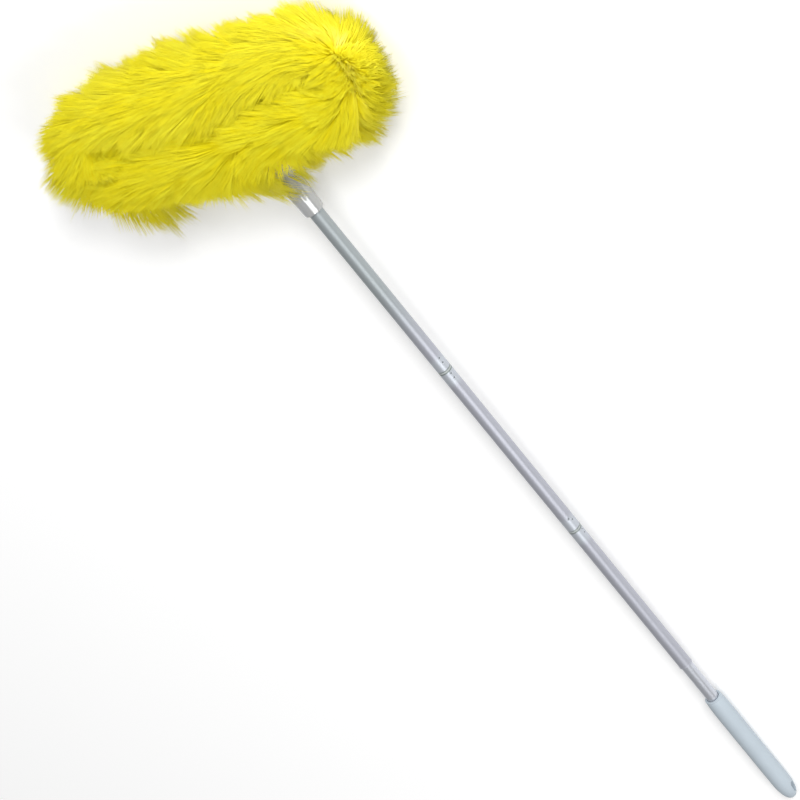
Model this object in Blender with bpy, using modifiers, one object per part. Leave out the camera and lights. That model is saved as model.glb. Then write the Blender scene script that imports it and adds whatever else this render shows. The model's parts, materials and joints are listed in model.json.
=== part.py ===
"""Ceiling fan duster: a looped twisted-wire brush on a pole that screws together and telescopes.

Units are metres and +Z is up. The duster lies as it does on a floor: the underside of the brush and the low
end of the grip touch z = 0, so the pole slopes down towards the grip. The origin is under the middle of the
bounding box. Everything is modelled in the pole's own frame, and one empty carries it all:
  x runs along the pole, from the mouth of the ferrule (x = 0) to the grip (+x),
  y runs along the brush, z is square to the loop.
"""
import math
import random

import bmesh
import bpy
import numpy as np
from mathutils import Matrix, Vector

MM = 0.001
AXIS_MARK = 20 * MM         # drawn size of the empties on the joint axes

# Clearances
FIT_GAP = 0.3 * MM          # between pieces that touch or run in each other
PIECE_GAP = 0.6 * MM        # between the ends of neighbouring fibre bands

# Pole tubes
TUBE_RADIUS = 8.0 * MM
TUBE_WALL = 0.4 * MM
TUBE_LENGTH = 252 * MM      # upper and middle tube
LOWER_TUBE_LENGTH = 236 * MM
RIM_LENGTH = 1.6 * MM       # bead rolled on the mouth of the lower tube
RIM_PROUD = 0.25 * MM
INNER_TUBE_RADIUS = TUBE_RADIUS - TUBE_WALL - FIT_GAP
INNER_TUBE_SHOWN = 60 * MM  # bare length between the lower tube and the grip
INNER_TUBE_INSIDE = 120 * MM
POLE_SIDES = 24

# Screwed inserts of the tubes
PLUG_FLANGE = 1.8 * MM
PLUG_BODY = 24 * MM
PLUG_CORE_RADIUS = 4.2 * MM
PLUG_CORE_DEPTH = 20 * MM
SPIGOT_RADIUS = 5.6 * MM
SPIGOT_LENGTH = 18 * MM
SPIGOT_CHAMFER = 1.4 * MM
SOCKET_LENGTH = 26 * MM
THREAD_RUNOUT = 3 * MM      # the female thread is this much deeper than the spigot is long
INSERT_SIDES = 16

# Stakes: pairs of dimples that lock the inserts in the tubes
STAKE_RADIUS = 1.5 * MM
STAKE_FLOOR_RADIUS = 0.8 * MM
STAKE_DEPTH = 0.75 * MM
STAKE_PITCH = 5.0 * MM
SOCKET_STAKE = 7.5 * MM     # from the tube's end to the nearer dimple, over a socket
PLUG_STAKE = 13.0 * MM      # the same, over a plug
STAKE_SIDES = 8
STAKE_FACING = 4.0          # degrees about the pole, from +y towards +z
STAKE_FACING_LOWER = -50.0
STAKE_FACING_HIDDEN = 180.0

# Ferrule
FERRULE_LENGTH = 68 * MM
FERRULE_MOUTH_RADIUS = 11.6 * MM
FERRULE_WAIST = 30 * MM     # from the mouth to where the taper ends
FERRULE_RADIUS = 12.8 * MM
FERRULE_TOP_RADIUS = 10.8 * MM
FERRULE_ROUND = 1.6 * MM
FERRULE_CROWN = 5 * MM      # length of the shoulder at its top
ROUND_STEPS = 3
SKIRT_DEPTH = 19 * MM       # length of the upper tube inside the ferrule
SKIRT_GAP = 0.4 * MM
THREAD_GAP = 0.4 * MM
FERRULE_WEB = 3 * MM
FERRULE_SIDES = 28

# Wire
STRAND_WIRE_RADIUS = 1.1 * MM
WIRE_RADIUS = 2 * STRAND_WIRE_RADIUS
WIRE_WAIST = 0.7 * MM       # half-width of the valley between the two strands
WIRE_PITCH = 13 * MM
WIRE_STEPS_PER_TURN = 10
LEG_OFFSET = 3.6 * MM       # each leg of the wire lies this far from the pole's axis
LEG_BEND_RADIUS = 9 * MM
LEG_BEND_STEPS = 5
PLUG_WIRE_DEPTH = 17 * MM
WIRE_PLUG_RADIUS = 8.2 * MM
WIRE_PLUG_FLANGE = 2 * MM
WIRE_HOLE_SIDES = 12

# Loop of the brush
LOOP_HALF_STRAIGHT = 132 * MM
LOOP_HALF_WIDTH = 33 * MM
NECK_LENGTH = 41 * MM       # from the top of the ferrule to the near side of the loop
NECK_GAP = 13.5 * MM        # bare wire on each side of the pole's axis
LOOP_SHIFT = -16 * MM       # the soft wire is bent, so that the loop's middle lies off the pole's axis
ARC_STEPS = 3               # in a quarter turn, the same as the rows of fibre

# Fibres
FIBRE_REACH = 50 * MM       # from the bound roots to the longest tips
FIBRE_SLEEVE = 1.4 * MM     # wall of the bound roots round the wire
SLEEVE_GAP = 0.6 * MM       # between the wire and the bound roots
WELD = 0.001 * MM
CUT_DEPTH = 0.5 * MM        # the tips on the floor are pressed flat by this much
SLOT_HALF_WIDTH = 7.5 * MM  # the fibres stop here on each side of the loop's middle line
END_HALF_WIDTH = 14 * MM    # the same round the two ends of that line
WIRE_HEIGHT = 38 * MM       # of the near wire above the floor, pressed down by the brush's weight
LEAN = 0.35                 # how far the fibres are combed along the wire, one way round the loop
LEAN_FADE = 50 * MM         # the fibres that would lean on the ferrule stand straighter over this length
LEAN_BACK = 0.3             # and the last of them lean back, by this share
REACH_DIFFERENCE = 8 * MM   # the fibres are fuller at the -y end and shorter at the +y end
TOP_SHARE = 0.86            # the fibres on top droop to this share of their reach
SHORTEST_SHARE = 0.88
JITTER = 0.06
EARLY_LEAN = 0.4            # share of the lean over the first half of a tuft
TRIM_STEP = 0.98
FIBRE_SEED = 7
TUFT_COUNT_AROUND = 7
ROW_COUNT_STRAIGHT = 6      # an even number, because each row is turned by half a step
ROW_COUNT_ROUND = 2
TUFT_WAIST_RADIUS = 2.4 * MM
TUFT_TIP_RADIUS = 1.1 * MM
TUFT_SLIMMEST = 0.35        # short tufts are slimmer, down to this share
BAND_COUNT_FAR = 4
BAND_COUNT_NEAR = 2         # on each side of the pole
BAND_COUNT_ROUND = 3        # round each end

# Twist lock inside the pole
LOCK_STEM_RADIUS = 3.0 * MM
LOCK_FLANGE = 2.0 * MM
LOCK_SHANK = 18 * MM
CONE_RADIUS = 5.2 * MM
CONE_LENGTH = 15 * MM
COLLET_LENGTH = 22 * MM
COLLET_STRAIGHT = 7 * MM
COLLET_SLOT = 1.6 * MM
COLLET_SLOT_LENGTH = 15 * MM
COLLET_SLOT_COUNT = 4
CONE_GAP = 0.4 * MM
CONE_TIP = 2 * MM

# Grip
GRIP_LENGTH = 187 * MM
GRIP_MOUTH_RADIUS = 10.4 * MM
GRIP_RADIUS = 11.3 * MM
GRIP_SWELL = 26 * MM        # from the mouth to the full radius
GRIP_SWELL_STEPS = 3
GRIP_TIP = 34 * MM
GRIP_TIP_ROUNDNESS = 2.4
GRIP_TIP_STEPS = 8
GRIP_EDGE = 0.8 * MM
GRIP_BORE_DEPTH = 118 * MM
HOLE_WIDTH = 6.5 * MM
HOLE_LENGTH = 15 * MM
HOLE_FROM_TIP = 9 * MM
HOLE_SIDES = 12

# Places along the pole that follow from the sizes
UPPER_TUBE_X = -SKIRT_DEPTH
UPPER_PLUG_X = UPPER_TUBE_X - FIT_GAP - PLUG_FLANGE
THREAD_END_X = UPPER_PLUG_X - SPIGOT_LENGTH - THREAD_RUNOUT
WEB_TOP_X = THREAD_END_X - FERRULE_WEB
JOINT_1_X = UPPER_TUBE_X + TUBE_LENGTH + FIT_GAP
MIDDLE_TUBE_X = JOINT_1_X + PLUG_FLANGE + FIT_GAP
JOINT_2_X = MIDDLE_TUBE_X + TUBE_LENGTH + FIT_GAP
LOWER_TUBE_X = JOINT_2_X + PLUG_FLANGE + FIT_GAP
LOWER_MOUTH_X = LOWER_TUBE_X + LOWER_TUBE_LENGTH
GRIP_X = LOWER_MOUTH_X + INNER_TUBE_SHOWN
GRIP_END_X = GRIP_X + GRIP_LENGTH
INNER_TUBE_X = LOWER_MOUTH_X - INNER_TUBE_INSIDE
FERRULE_TOP_X = -FERRULE_LENGTH
NEAR_WIRE_X = FERRULE_TOP_X - NECK_LENGTH
LOOP_X = NEAR_WIRE_X - LOOP_HALF_WIDTH
FAR_WIRE_X = LOOP_X - LOOP_HALF_WIDTH
WIRE_END_X = FERRULE_TOP_X + PLUG_WIRE_DEPTH
UP = Vector((0, 0, 1))

MATERIALS = {
    # name: colour, roughness, metallic, alpha
    "yellow_fibre": ((0.88, 0.80, 0.02), 0.55, 0.0, 1.0),
    "galvanised_wire": ((0.62, 0.62, 0.60), 0.35, 1.0, 1.0),
    "clear_plastic": ((0.80, 0.80, 0.80), 0.12, 0.0, 0.45),
    "grey_insert": ((0.42, 0.44, 0.46), 0.45, 0.0, 1.0),
    "grey_steel": ((0.50, 0.52, 0.55), 0.32, 0.8, 1.0),
    "bright_steel": ((0.72, 0.73, 0.77), 0.22, 1.0, 1.0),
    "grip_plastic": ((0.55, 0.60, 0.65), 0.55, 0.0, 1.0),
}


def clear_scene():
    """Start from an empty file."""
    for obj in list(bpy.data.objects):
        bpy.data.objects.remove(obj, do_unlink=True)


def make_material(name):
    """A Principled material with the finish listed above."""
    colour, roughness, metallic, alpha = MATERIALS[name]
    material = bpy.data.materials.new(name)
    material.use_nodes = True
    shader = material.node_tree.nodes["Principled BSDF"]
    shader.inputs["Base Color"].default_value = (*colour, 1.0)
    shader.inputs["Roughness"].default_value = roughness
    shader.inputs["Metallic"].default_value = metallic
    shader.inputs["Alpha"].default_value = alpha
    material.diffuse_color = (*colour, alpha)
    return material


def new_collection(name):
    """A collection linked to the scene."""
    collection = bpy.data.collections.new(name)
    bpy.context.scene.collection.children.link(collection)
    return collection


def add_object(name, mesh, parent, collection, material=None):
    """An object of a mesh, under its body's empty."""
    obj = bpy.data.objects.new(name, mesh)
    collection.objects.link(obj)
    obj.parent = parent
    if material:
        mesh.materials.append(material)
    return obj


def add_body(name, x, parent, collection):
    """The empty on a body's joint axis."""
    empty = bpy.data.objects.new(name, None)
    empty.empty_display_size = AXIS_MARK
    empty.location = (x, 0, 0)
    empty.parent = parent
    collection.objects.link(empty)
    return empty


def turned(name, outline, body, collection, material, sides):
    """Turn an outline of (x along the pole, radius) points about the pole's axis.

    The outline runs towards +x along the inside and back along the outside. It is closed, unless both its
    ends lie on the axis.
    """
    closed = outline[0][1] > 0
    mesh = bpy.data.meshes.new(name)
    count = len(outline)
    edges = [(i, (i + 1) % count) for i in range(count if closed else count - 1)]
    mesh.from_pydata([(radius, 0, x) for x, radius in outline], edges, [])
    obj = add_object(name, mesh, body, collection, material)
    obj.location = (-body.location.x, 0, 0)
    obj.rotation_euler = (0, math.pi / 2, 0)
    screw = obj.modifiers.new("turn", "SCREW")
    screw.axis = "Z"
    screw.steps = sides
    screw.render_steps = sides
    screw.use_merge_vertices = True
    screw.merge_threshold = 1e-6
    screw.use_normal_calculate = False
    return obj


def tool(name, mesh, body, collection):
    """A cutter or filler in the pole's frame: a guide that isn't a piece itself."""
    obj = add_object(name, mesh, body, collection)
    obj.location = (-body.location.x, 0, 0)
    obj.hide_render = True
    obj.display_type = "WIRE"
    return obj


def combine(obj, other, operation):
    """Cut a tool out of an object, or join it on."""
    modifier = obj.modifiers.new(f"{operation}_{other.name}".lower(), "BOOLEAN")
    modifier.operation = operation
    modifier.object = other
    modifier.solver = "EXACT"


def radial_pegs(name, places, facing, low, high, low_radius, high_radius, sides):
    """A mesh of round pegs that stand on the pole's axis, from one radius of the pole to another."""
    angle = math.radians(facing)
    outwards = Vector((0, math.cos(angle), math.sin(angle)))
    turn = outwards.to_track_quat("Z", "Y").to_matrix().to_4x4()
    bm = bmesh.new()
    for x in places:
        centre = Vector((x, 0, 0)) + outwards * (low + high) / 2
        bmesh.ops.create_cone(
            bm, cap_ends=True, segments=sides, radius1=low_radius, radius2=high_radius,
            depth=high - low, matrix=Matrix.Translation(centre) @ turn)
    mesh = bpy.data.meshes.new(name)
    bm.to_mesh(mesh)
    bm.free()
    return mesh


def stake(tube, insert, places, facing, body, cutters):
    """Punch a pair of dimples in the tube's wall, with pockets for them in the insert."""
    inside = TUBE_RADIUS - TUBE_WALL
    floor = TUBE_RADIUS - STAKE_DEPTH
    boss_radius = STAKE_RADIUS + TUBE_WALL
    name = f"{insert.name}_stakes"
    boss = radial_pegs(name + "_boss", places, facing, floor - TUBE_WALL, inside + TUBE_WALL / 2,
                       STAKE_FLOOR_RADIUS + TUBE_WALL, boss_radius, STAKE_SIDES)
    dimple = radial_pegs(name + "_dimple", places, facing, floor, TUBE_RADIUS + 1 * MM,
                         STAKE_FLOOR_RADIUS, STAKE_RADIUS + 0.6 * MM, STAKE_SIDES)
    pocket = radial_pegs(name + "_pocket", places, facing, floor - TUBE_WALL - FIT_GAP, TUBE_RADIUS,
                         STAKE_FLOOR_RADIUS + TUBE_WALL + FIT_GAP, boss_radius + 2 * FIT_GAP, STAKE_SIDES)
    combine(tube, tool(name + "_boss", boss, body, cutters), "UNION")
    combine(tube, tool(name + "_dimple", dimple, body, cutters), "DIFFERENCE")
    combine(insert, tool(name + "_pocket", pocket, body, cutters), "DIFFERENCE")


def stake_places(end_x, direction, first):
    """The two places of a pair of dimples, measured from a tube's end."""
    return [end_x + direction * first, end_x + direction * (first + STAKE_PITCH)]


def make_tube(name, x, length, radius, body, collection, material):
    """A plain thin tube."""
    outline = [(x, radius - TUBE_WALL), (x + length, radius - TUBE_WALL), (x + length, radius), (x, radius)]
    return turned(name, outline, body, collection, material, POLE_SIDES)


def make_lower_tube(body, collection, material):
    """The last tube: its mouth is rolled to a small bead that guides the inner tube."""
    inside = TUBE_RADIUS - TUBE_WALL
    x, end = LOWER_TUBE_X, LOWER_MOUTH_X
    outline = [
        (x, inside), (end, inside), (end, TUBE_RADIUS), (end - RIM_LENGTH / 4, TUBE_RADIUS + RIM_PROUD),
        (end - RIM_LENGTH * 3 / 4, TUBE_RADIUS + RIM_PROUD), (end - RIM_LENGTH, TUBE_RADIUS), (x, TUBE_RADIUS)]
    return turned("lower_tube", outline, body, collection, material, POLE_SIDES)


def make_plug(name, flange_x, body, collection, material):
    """A screwed tip: a cored body inside a tube, a flange on the tube's end, and the threaded spigot."""
    fit = TUBE_RADIUS - TUBE_WALL - FIT_GAP
    seat = flange_x + PLUG_FLANGE
    end = seat + PLUG_BODY
    core = end - PLUG_CORE_DEPTH
    tip = flange_x - SPIGOT_LENGTH
    outline = [
        (core, 0), (core, PLUG_CORE_RADIUS), (end, PLUG_CORE_RADIUS), (end, fit), (seat, fit),
        (seat, TUBE_RADIUS), (flange_x, TUBE_RADIUS), (flange_x, SPIGOT_RADIUS),
        (tip + SPIGOT_CHAMFER, SPIGOT_RADIUS), (tip, SPIGOT_RADIUS - SPIGOT_CHAMFER), (tip, 0)]
    return turned(name, outline, body, collection, material, INSERT_SIDES)


def make_socket(name, mouth_x, body, collection, material):
    """The threaded socket pressed into a tube's lower end, flush with it."""
    fit = TUBE_RADIUS - TUBE_WALL - FIT_GAP
    start = mouth_x - SOCKET_LENGTH
    bottom = mouth_x - SPIGOT_LENGTH - THREAD_RUNOUT
    bore = SPIGOT_RADIUS + THREAD_GAP
    outline = [(bottom, 0), (bottom, bore), (mouth_x, bore), (mouth_x, fit), (start, fit), (start, 0)]
    return turned(name, outline, body, collection, material, INSERT_SIDES)


def make_ferrule(body, collection, material):
    """The clear socket of the brush: a skirt over the pole's end, a threaded bore and a seat for the wire plug."""
    skirt = TUBE_RADIUS + SKIRT_GAP
    shoulder = UPPER_PLUG_X - FIT_GAP
    bore = SPIGOT_RADIUS + THREAD_GAP
    cavity = WIRE_PLUG_RADIUS + FIT_GAP
    rounding = []
    for step in range(ROUND_STEPS + 1):
        angle = math.pi / 2 * step / ROUND_STEPS
        rounding.append((-FERRULE_ROUND * (1 - math.cos(angle)),
                         FERRULE_MOUTH_RADIUS - FERRULE_ROUND * (1 - math.sin(angle))))
    outline = [
        (THREAD_END_X, 0), (THREAD_END_X, bore), (shoulder, bore), (shoulder, skirt), (0, skirt), *rounding,
        (-FERRULE_WAIST, FERRULE_RADIUS), (FERRULE_TOP_X + FERRULE_CROWN, FERRULE_RADIUS),
        (FERRULE_TOP_X + FERRULE_CROWN / 3, FERRULE_RADIUS - (FERRULE_RADIUS - FERRULE_TOP_RADIUS) / 3),
        (FERRULE_TOP_X, FERRULE_TOP_RADIUS), (FERRULE_TOP_X, cavity), (WEB_TOP_X, cavity), (WEB_TOP_X, 0)]
    return turned("ferrule", outline, body, collection, material, FERRULE_SIDES)


def make_wire_plug(body, collection, cutters, material):
    """The plug that holds both ends of the wire in the top of the ferrule."""
    flange_seat = FERRULE_TOP_X - FIT_GAP
    top = flange_seat - WIRE_PLUG_FLANGE
    bottom = WEB_TOP_X - FIT_GAP
    outline = [(bottom, 0), (bottom, WIRE_PLUG_RADIUS), (flange_seat, WIRE_PLUG_RADIUS),
               (flange_seat, FERRULE_TOP_RADIUS), (top, FERRULE_TOP_RADIUS - WIRE_PLUG_FLANGE / 2), (top, 0)]
    plug = turned("wire_plug", outline, body, collection, material, INSERT_SIDES)
    bm = bmesh.new()
    depth = WIRE_END_X - top + FIT_GAP + 1 * MM
    turn = Matrix.Rotation(math.pi / 2, 4, "Y")
    for side in (-1, 1):
        centre = Vector((WIRE_END_X + FIT_GAP - depth / 2, side * LEG_OFFSET, 0))
        bmesh.ops.create_cone(
            bm, cap_ends=True, segments=WIRE_HOLE_SIDES, radius1=WIRE_RADIUS + FIT_GAP,
            radius2=WIRE_RADIUS + FIT_GAP, depth=depth, matrix=Matrix.Translation(centre) @ turn)
    holes = bpy.data.meshes.new("wire_holes")
    bm.to_mesh(holes)
    bm.free()
    combine(plug, tool("wire_holes", holes, body, cutters), "DIFFERENCE")
    return plug


def wire_route():
    """Points of the wire's middle line, with the turn of its two strands at each point.

    The wire leaves the ferrule on the +y side of the axis, runs round the loop and comes back beside itself.
    The twist is drawn where the wire shows, in the neck, and the loop itself is hidden by the fibres.
    """
    step = WIRE_PITCH / WIRE_STEPS_PER_TURN
    bend_x = NEAR_WIRE_X + LEG_BEND_RADIUS
    count = round((WIRE_END_X - bend_x) / step)
    halves = []
    for side in (1, -1):
        leg = [Vector((WIRE_END_X + (bend_x - WIRE_END_X) * i / count, side * LEG_OFFSET, 0))
               for i in range(count + 1)]
        centre = Vector((bend_x, side * (LEG_OFFSET + LEG_BEND_RADIUS), 0))
        bend = []
        for i in range(1, LEG_BEND_STEPS + 1):
            angle = math.pi / 2 * i / LEG_BEND_STEPS
            bend.append(centre - LEG_BEND_RADIUS * Vector((math.sin(angle), side * math.cos(angle), 0)))
        arc = []
        for i in range(2 * ARC_STEPS + 1):
            angle = math.pi / 2 * i / ARC_STEPS
            along = LOOP_HALF_STRAIGHT + LOOP_HALF_WIDTH * math.sin(angle)
            arc.append(Vector((LOOP_X + LOOP_HALF_WIDTH * math.cos(angle), LOOP_SHIFT + side * along, 0)))
        halves.append(leg + bend + arc)
    points = halves[0] + halves[1][::-1]
    turn = 0.0
    turns = []
    turn_per_step = 2 * math.pi / WIRE_STEPS_PER_TURN
    for index in range(len(points)):
        in_leg = 0 < index <= count or index >= len(points) - count
        turn += turn_per_step if in_leg else 0.0
        turns.append(turn)
    return points, turns


def make_wire(body, collection, cutters, material):
    """The pair of wires twisted together, as one spline whose section is two round strands."""
    crown = STRAND_WIRE_RADIUS
    section_points = [(WIRE_RADIUS, 0), (crown, -crown), (0, -WIRE_WAIST), (-crown, -crown),
                      (-WIRE_RADIUS, 0), (-crown, crown), (0, WIRE_WAIST), (crown, crown)]
    section = bpy.data.curves.new("wire_section", "CURVE")
    section.dimensions = "2D"
    spline = section.splines.new("POLY")
    spline.points.add(len(section_points) - 1)
    for point, (u, v) in zip(spline.points, section_points):
        point.co = (u, v, 0, 1)
    spline.use_cyclic_u = True
    guide = tool("wire_section", section, body, cutters)

    points, turns = wire_route()
    curve = bpy.data.curves.new("wire_loop", "CURVE")
    curve.dimensions = "3D"
    curve.bevel_mode = "OBJECT"
    curve.bevel_object = guide
    curve.use_fill_caps = True
    spline = curve.splines.new("POLY")
    spline.points.add(len(points) - 1)
    for point, place, turn in zip(spline.points, points, turns):
        point.co = (*place, 1)
        point.tilt = turn
    wire = add_object("wire_loop", curve, body, collection, material)
    wire.location = (-body.location.x, 0, 0)
    return wire


def straight_frames(x, outwards, start_y, end_y, rows):
    """Frames for the rows of a band on a straight side of the loop."""
    frames = []
    for row in range(rows + 1):
        y = start_y + (end_y - start_y) * row / rows
        frames.append((Vector((x, y, 0)), Vector((0, 1 if end_y > start_y else -1, 0)), Vector((outwards, 0, 0))))
    return frames


def round_frames(end, start, stop, rows):
    """Frames for the rows of a band round one end (+1 or -1) of the loop, from one angle to another."""
    centre = Vector((LOOP_X, LOOP_SHIFT + end * LOOP_HALF_STRAIGHT, 0))
    frames = []
    for row in range(rows + 1):
        angle = start + (stop - start) * row / rows
        outwards = Vector((math.cos(angle), end * math.sin(angle), 0))
        along = Vector((-math.sin(angle), end * math.cos(angle), 0))
        frames.append((centre + outwards * LOOP_HALF_WIDTH, along, outwards))
    return frames


def band_plan():
    """Name and row frames of each band of fibre."""
    plan = []
    gap = PIECE_GAP / 2
    far_length = 2 * LOOP_HALF_STRAIGHT / BAND_COUNT_FAR
    for i in range(BAND_COUNT_FAR):
        start = LOOP_SHIFT - LOOP_HALF_STRAIGHT + far_length * i
        plan.append((f"fibre_far_{i + 1}", straight_frames(
            FAR_WIRE_X, -1, start + gap, start + far_length - gap, ROW_COUNT_STRAIGHT)))
    for side, word in ((-1, "left"), (1, "right")):
        near_length = (LOOP_HALF_STRAIGHT + side * LOOP_SHIFT - NECK_GAP) / BAND_COUNT_NEAR
        for i in range(BAND_COUNT_NEAR):
            start = NECK_GAP + near_length * i
            ends = (side * (start + gap), side * (start + near_length - gap))
            plan.append((f"fibre_near_{word}_{i + 1}", straight_frames(
                NEAR_WIRE_X, 1, min(ends), max(ends), ROW_COUNT_STRAIGHT)))
        arc = math.pi / BAND_COUNT_ROUND
        slack = gap / LOOP_HALF_WIDTH
        for i in range(BAND_COUNT_ROUND):
            plan.append((f"fibre_{word}_end_{i + 1}", round_frames(
                side, arc * i + slack, arc * (i + 1) - slack, ROW_COUNT_ROUND)))
    return plan


def frame_matrix(frame, turn):
    """Place a ring that lies square to the wire: its x points outwards, turned about the wire."""
    point, along, outwards = frame
    across = along.cross(outwards)
    matrix = Matrix((outwards, across, along)).transposed().to_4x4()
    matrix.translation = point
    return matrix @ Matrix.Rotation(turn, 4, "Z")


def between(first, second):
    """The frame half-way between two."""
    (point_1, along_1, out_1), (point_2, along_2, out_2) = first, second
    return (point_1 + point_2) / 2, (along_1 + along_2).normalized(), (out_1 + out_2).normalized()


def comb_at(root, outwards):
    """How the fibres are combed at a point of the loop: along the wire, one way round, and clear of the ferrule."""
    comb = UP.cross(outwards) * LEAN
    if root.y < 0 < outwards.x:
        room = (-root.y - NECK_GAP) / LEAN_FADE - LEAN_BACK
        comb *= min(room, 1)
    return comb


def tuft_line(root, normal, place, clearance, height, chance):
    """Middle, tip and final direction of a tuft, combed along the loop and short of the slot and the floor.

    The fibres inside the loop are short and stand straight.
    """
    wire, _, outwards = place
    freedom = 1 - max(-normal.dot(outwards), 0)
    comb = comb_at(root, outwards) * freedom
    spread = Vector([chance.uniform(-JITTER, JITTER) for _ in range(3)]) * freedom
    early = (normal + comb * EARLY_LEAN + spread).normalized()
    late = (normal + comb + spread).normalized()
    along = (root.y - LOOP_SHIFT) / (LOOP_HALF_STRAIGHT + LOOP_HALF_WIDTH)
    reach = (FIBRE_REACH - REACH_DIFFERENCE * along) * chance.uniform(SHORTEST_SHARE, 1)
    reach *= 1 - (1 - TOP_SHARE) * max(normal.z, 0)
    inmost = clearance - LOOP_HALF_WIDTH
    tip = root + (early + late) * reach / 2
    while (tip - wire).dot(outwards) < inmost or height(tip) < -CUT_DEPTH:
        reach *= TRIM_STEP
        tip = root + (early + late) * reach / 2
    return root + early * reach / 2, tip, late


def square_up(face, centre, along, direction, half_width):
    """Gather the four corners of a face into a square that lies across a tuft."""
    side = (along - direction * along.dot(direction)).normalized()
    other = direction.cross(side)
    middle = face.calc_center_median()
    for vert in face.verts:
        offset = vert.co - middle
        vert.co = (centre + side * math.copysign(half_width, offset.dot(side))
                   + other * math.copysign(half_width, offset.dot(other)))


def grow_ring(bm, edges, move):
    """Extrude a ring of edges and move the new ring. Returns its edges, and the faces between the rings."""
    grown = bmesh.ops.extrude_edge_only(bm, edges=edges)["geom"]
    verts = {item for item in grown if isinstance(item, bmesh.types.BMVert)}
    bmesh.ops.transform(bm, matrix=move, verts=list(verts))
    new_edges = [item for item in grown if isinstance(item, bmesh.types.BMEdge)
                 and all(vert in verts for vert in item.verts)]
    return new_edges, [item for item in grown if isinstance(item, bmesh.types.BMFace)]


def make_band(name, frames, height, chance, body, collection, material):
    """One band: a sleeve of bound roots round the wire, and a tuft drawn out of each of its faces."""
    outer = WIRE_RADIUS + SLEEVE_GAP + FIBRE_SLEEVE
    half_step = math.pi / TUFT_COUNT_AROUND
    bm = bmesh.new()
    bmesh.ops.create_circle(bm, segments=TUFT_COUNT_AROUND, radius=outer, matrix=frame_matrix(frames[0], 0))
    edges = bm.edges[:]
    before = frame_matrix(frames[0], 0)
    roots = []
    for row in range(1, len(frames)):
        after = frame_matrix(frames[row], half_step * row)
        edges, faces = grow_ring(bm, edges, after @ before.inverted())
        before = after
        place = between(frames[row - 1], frames[row])
        roots += [(face, place) for face in faces]
    straight = frames[0][1] == frames[-1][1]
    shrink = Matrix.Scale((outer - FIBRE_SLEEVE) / outer, 4)
    for frame in reversed(frames[::len(frames) - 1] if straight else frames):
        after = frame_matrix(frame, half_step * (len(frames) - 1)) @ shrink
        edges, _ = grow_ring(bm, edges, after @ before.inverted())
        before = after
    grow_ring(bm, edges, before @ shrink.inverted() @ before.inverted())
    bmesh.ops.remove_doubles(bm, verts=bm.verts, dist=WELD)
    bmesh.ops.recalc_face_normals(bm, faces=bm.faces)
    roots.sort(key=lambda item: tuple(round(value, 6) for value in item[0].calc_center_median()))
    clearance = SLOT_HALF_WIDTH if straight else END_HALF_WIDTH
    for root, place in roots:
        wire, along, _ = place
        centre = root.calc_center_median()
        normal = centre - wire
        normal = (normal - along * normal.dot(along)).normalized()
        middle, tip, late = tuft_line(centre, normal, place, clearance, height, chance)
        room = min((tip - centre).length / FIBRE_REACH + TUFT_SLIMMEST, 1)
        grown = bmesh.ops.extrude_discrete_faces(bm, faces=[root])["faces"][0]
        square_up(grown, middle, along, (tip - centre).normalized(), TUFT_WAIST_RADIUS * room)
        grown = bmesh.ops.extrude_discrete_faces(bm, faces=[grown])["faces"][0]
        square_up(grown, tip, along, late, TUFT_TIP_RADIUS * room)
        if min(height(vert.co) for vert in grown.verts) < 0:
            fall = height(grown.calc_center_median() + late) - height(grown.calc_center_median())
            for vert in grown.verts:
                vert.co = vert.co - late * (height(vert.co) / fall)
    mesh = bpy.data.meshes.new(name)
    bm.to_mesh(mesh)
    bm.free()
    obj = add_object(name, mesh, body, collection, material)
    obj.location = (-body.location.x, 0, 0)
    return obj


def make_collet(body, collection, cutters, material):
    """The slotted sleeve of the twist lock: a collar, and fingers that the cone spreads."""
    outside = TUBE_RADIUS - TUBE_WALL - FIT_GAP
    straight = LOCK_STEM_RADIUS + CONE_GAP
    wide = CONE_RADIUS + CONE_GAP
    end = INNER_TUBE_X - LOCK_FLANGE - FIT_GAP
    start = end - COLLET_LENGTH
    outline = [(start, wide), (end - COLLET_STRAIGHT, straight), (end, straight), (end, outside),
               (start, outside)]
    collet = turned("lock_collet", outline, body, collection, material, POLE_SIDES)
    bm = bmesh.new()
    for i in range(COLLET_SLOT_COUNT // 2):
        turn = Matrix.Rotation(math.pi * (2 * i + 1) / COLLET_SLOT_COUNT, 4, "X")
        centre = Matrix.Translation((start + (COLLET_SLOT_LENGTH - 1 * MM) / 2, 0, 0))
        size = Matrix.Diagonal((COLLET_SLOT_LENGTH + 1 * MM, 2 * TUBE_RADIUS + 2 * MM, COLLET_SLOT, 1))
        bmesh.ops.create_cube(bm, size=1, matrix=turn @ centre @ size)
    slots = bpy.data.meshes.new("collet_slots")
    bm.to_mesh(slots)
    bm.free()
    cutter = tool("collet_slots", slots, body, cutters)
    combine(collet, cutter, "DIFFERENCE")
    collet.modifiers[-1].use_self = True
    return collet


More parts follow.
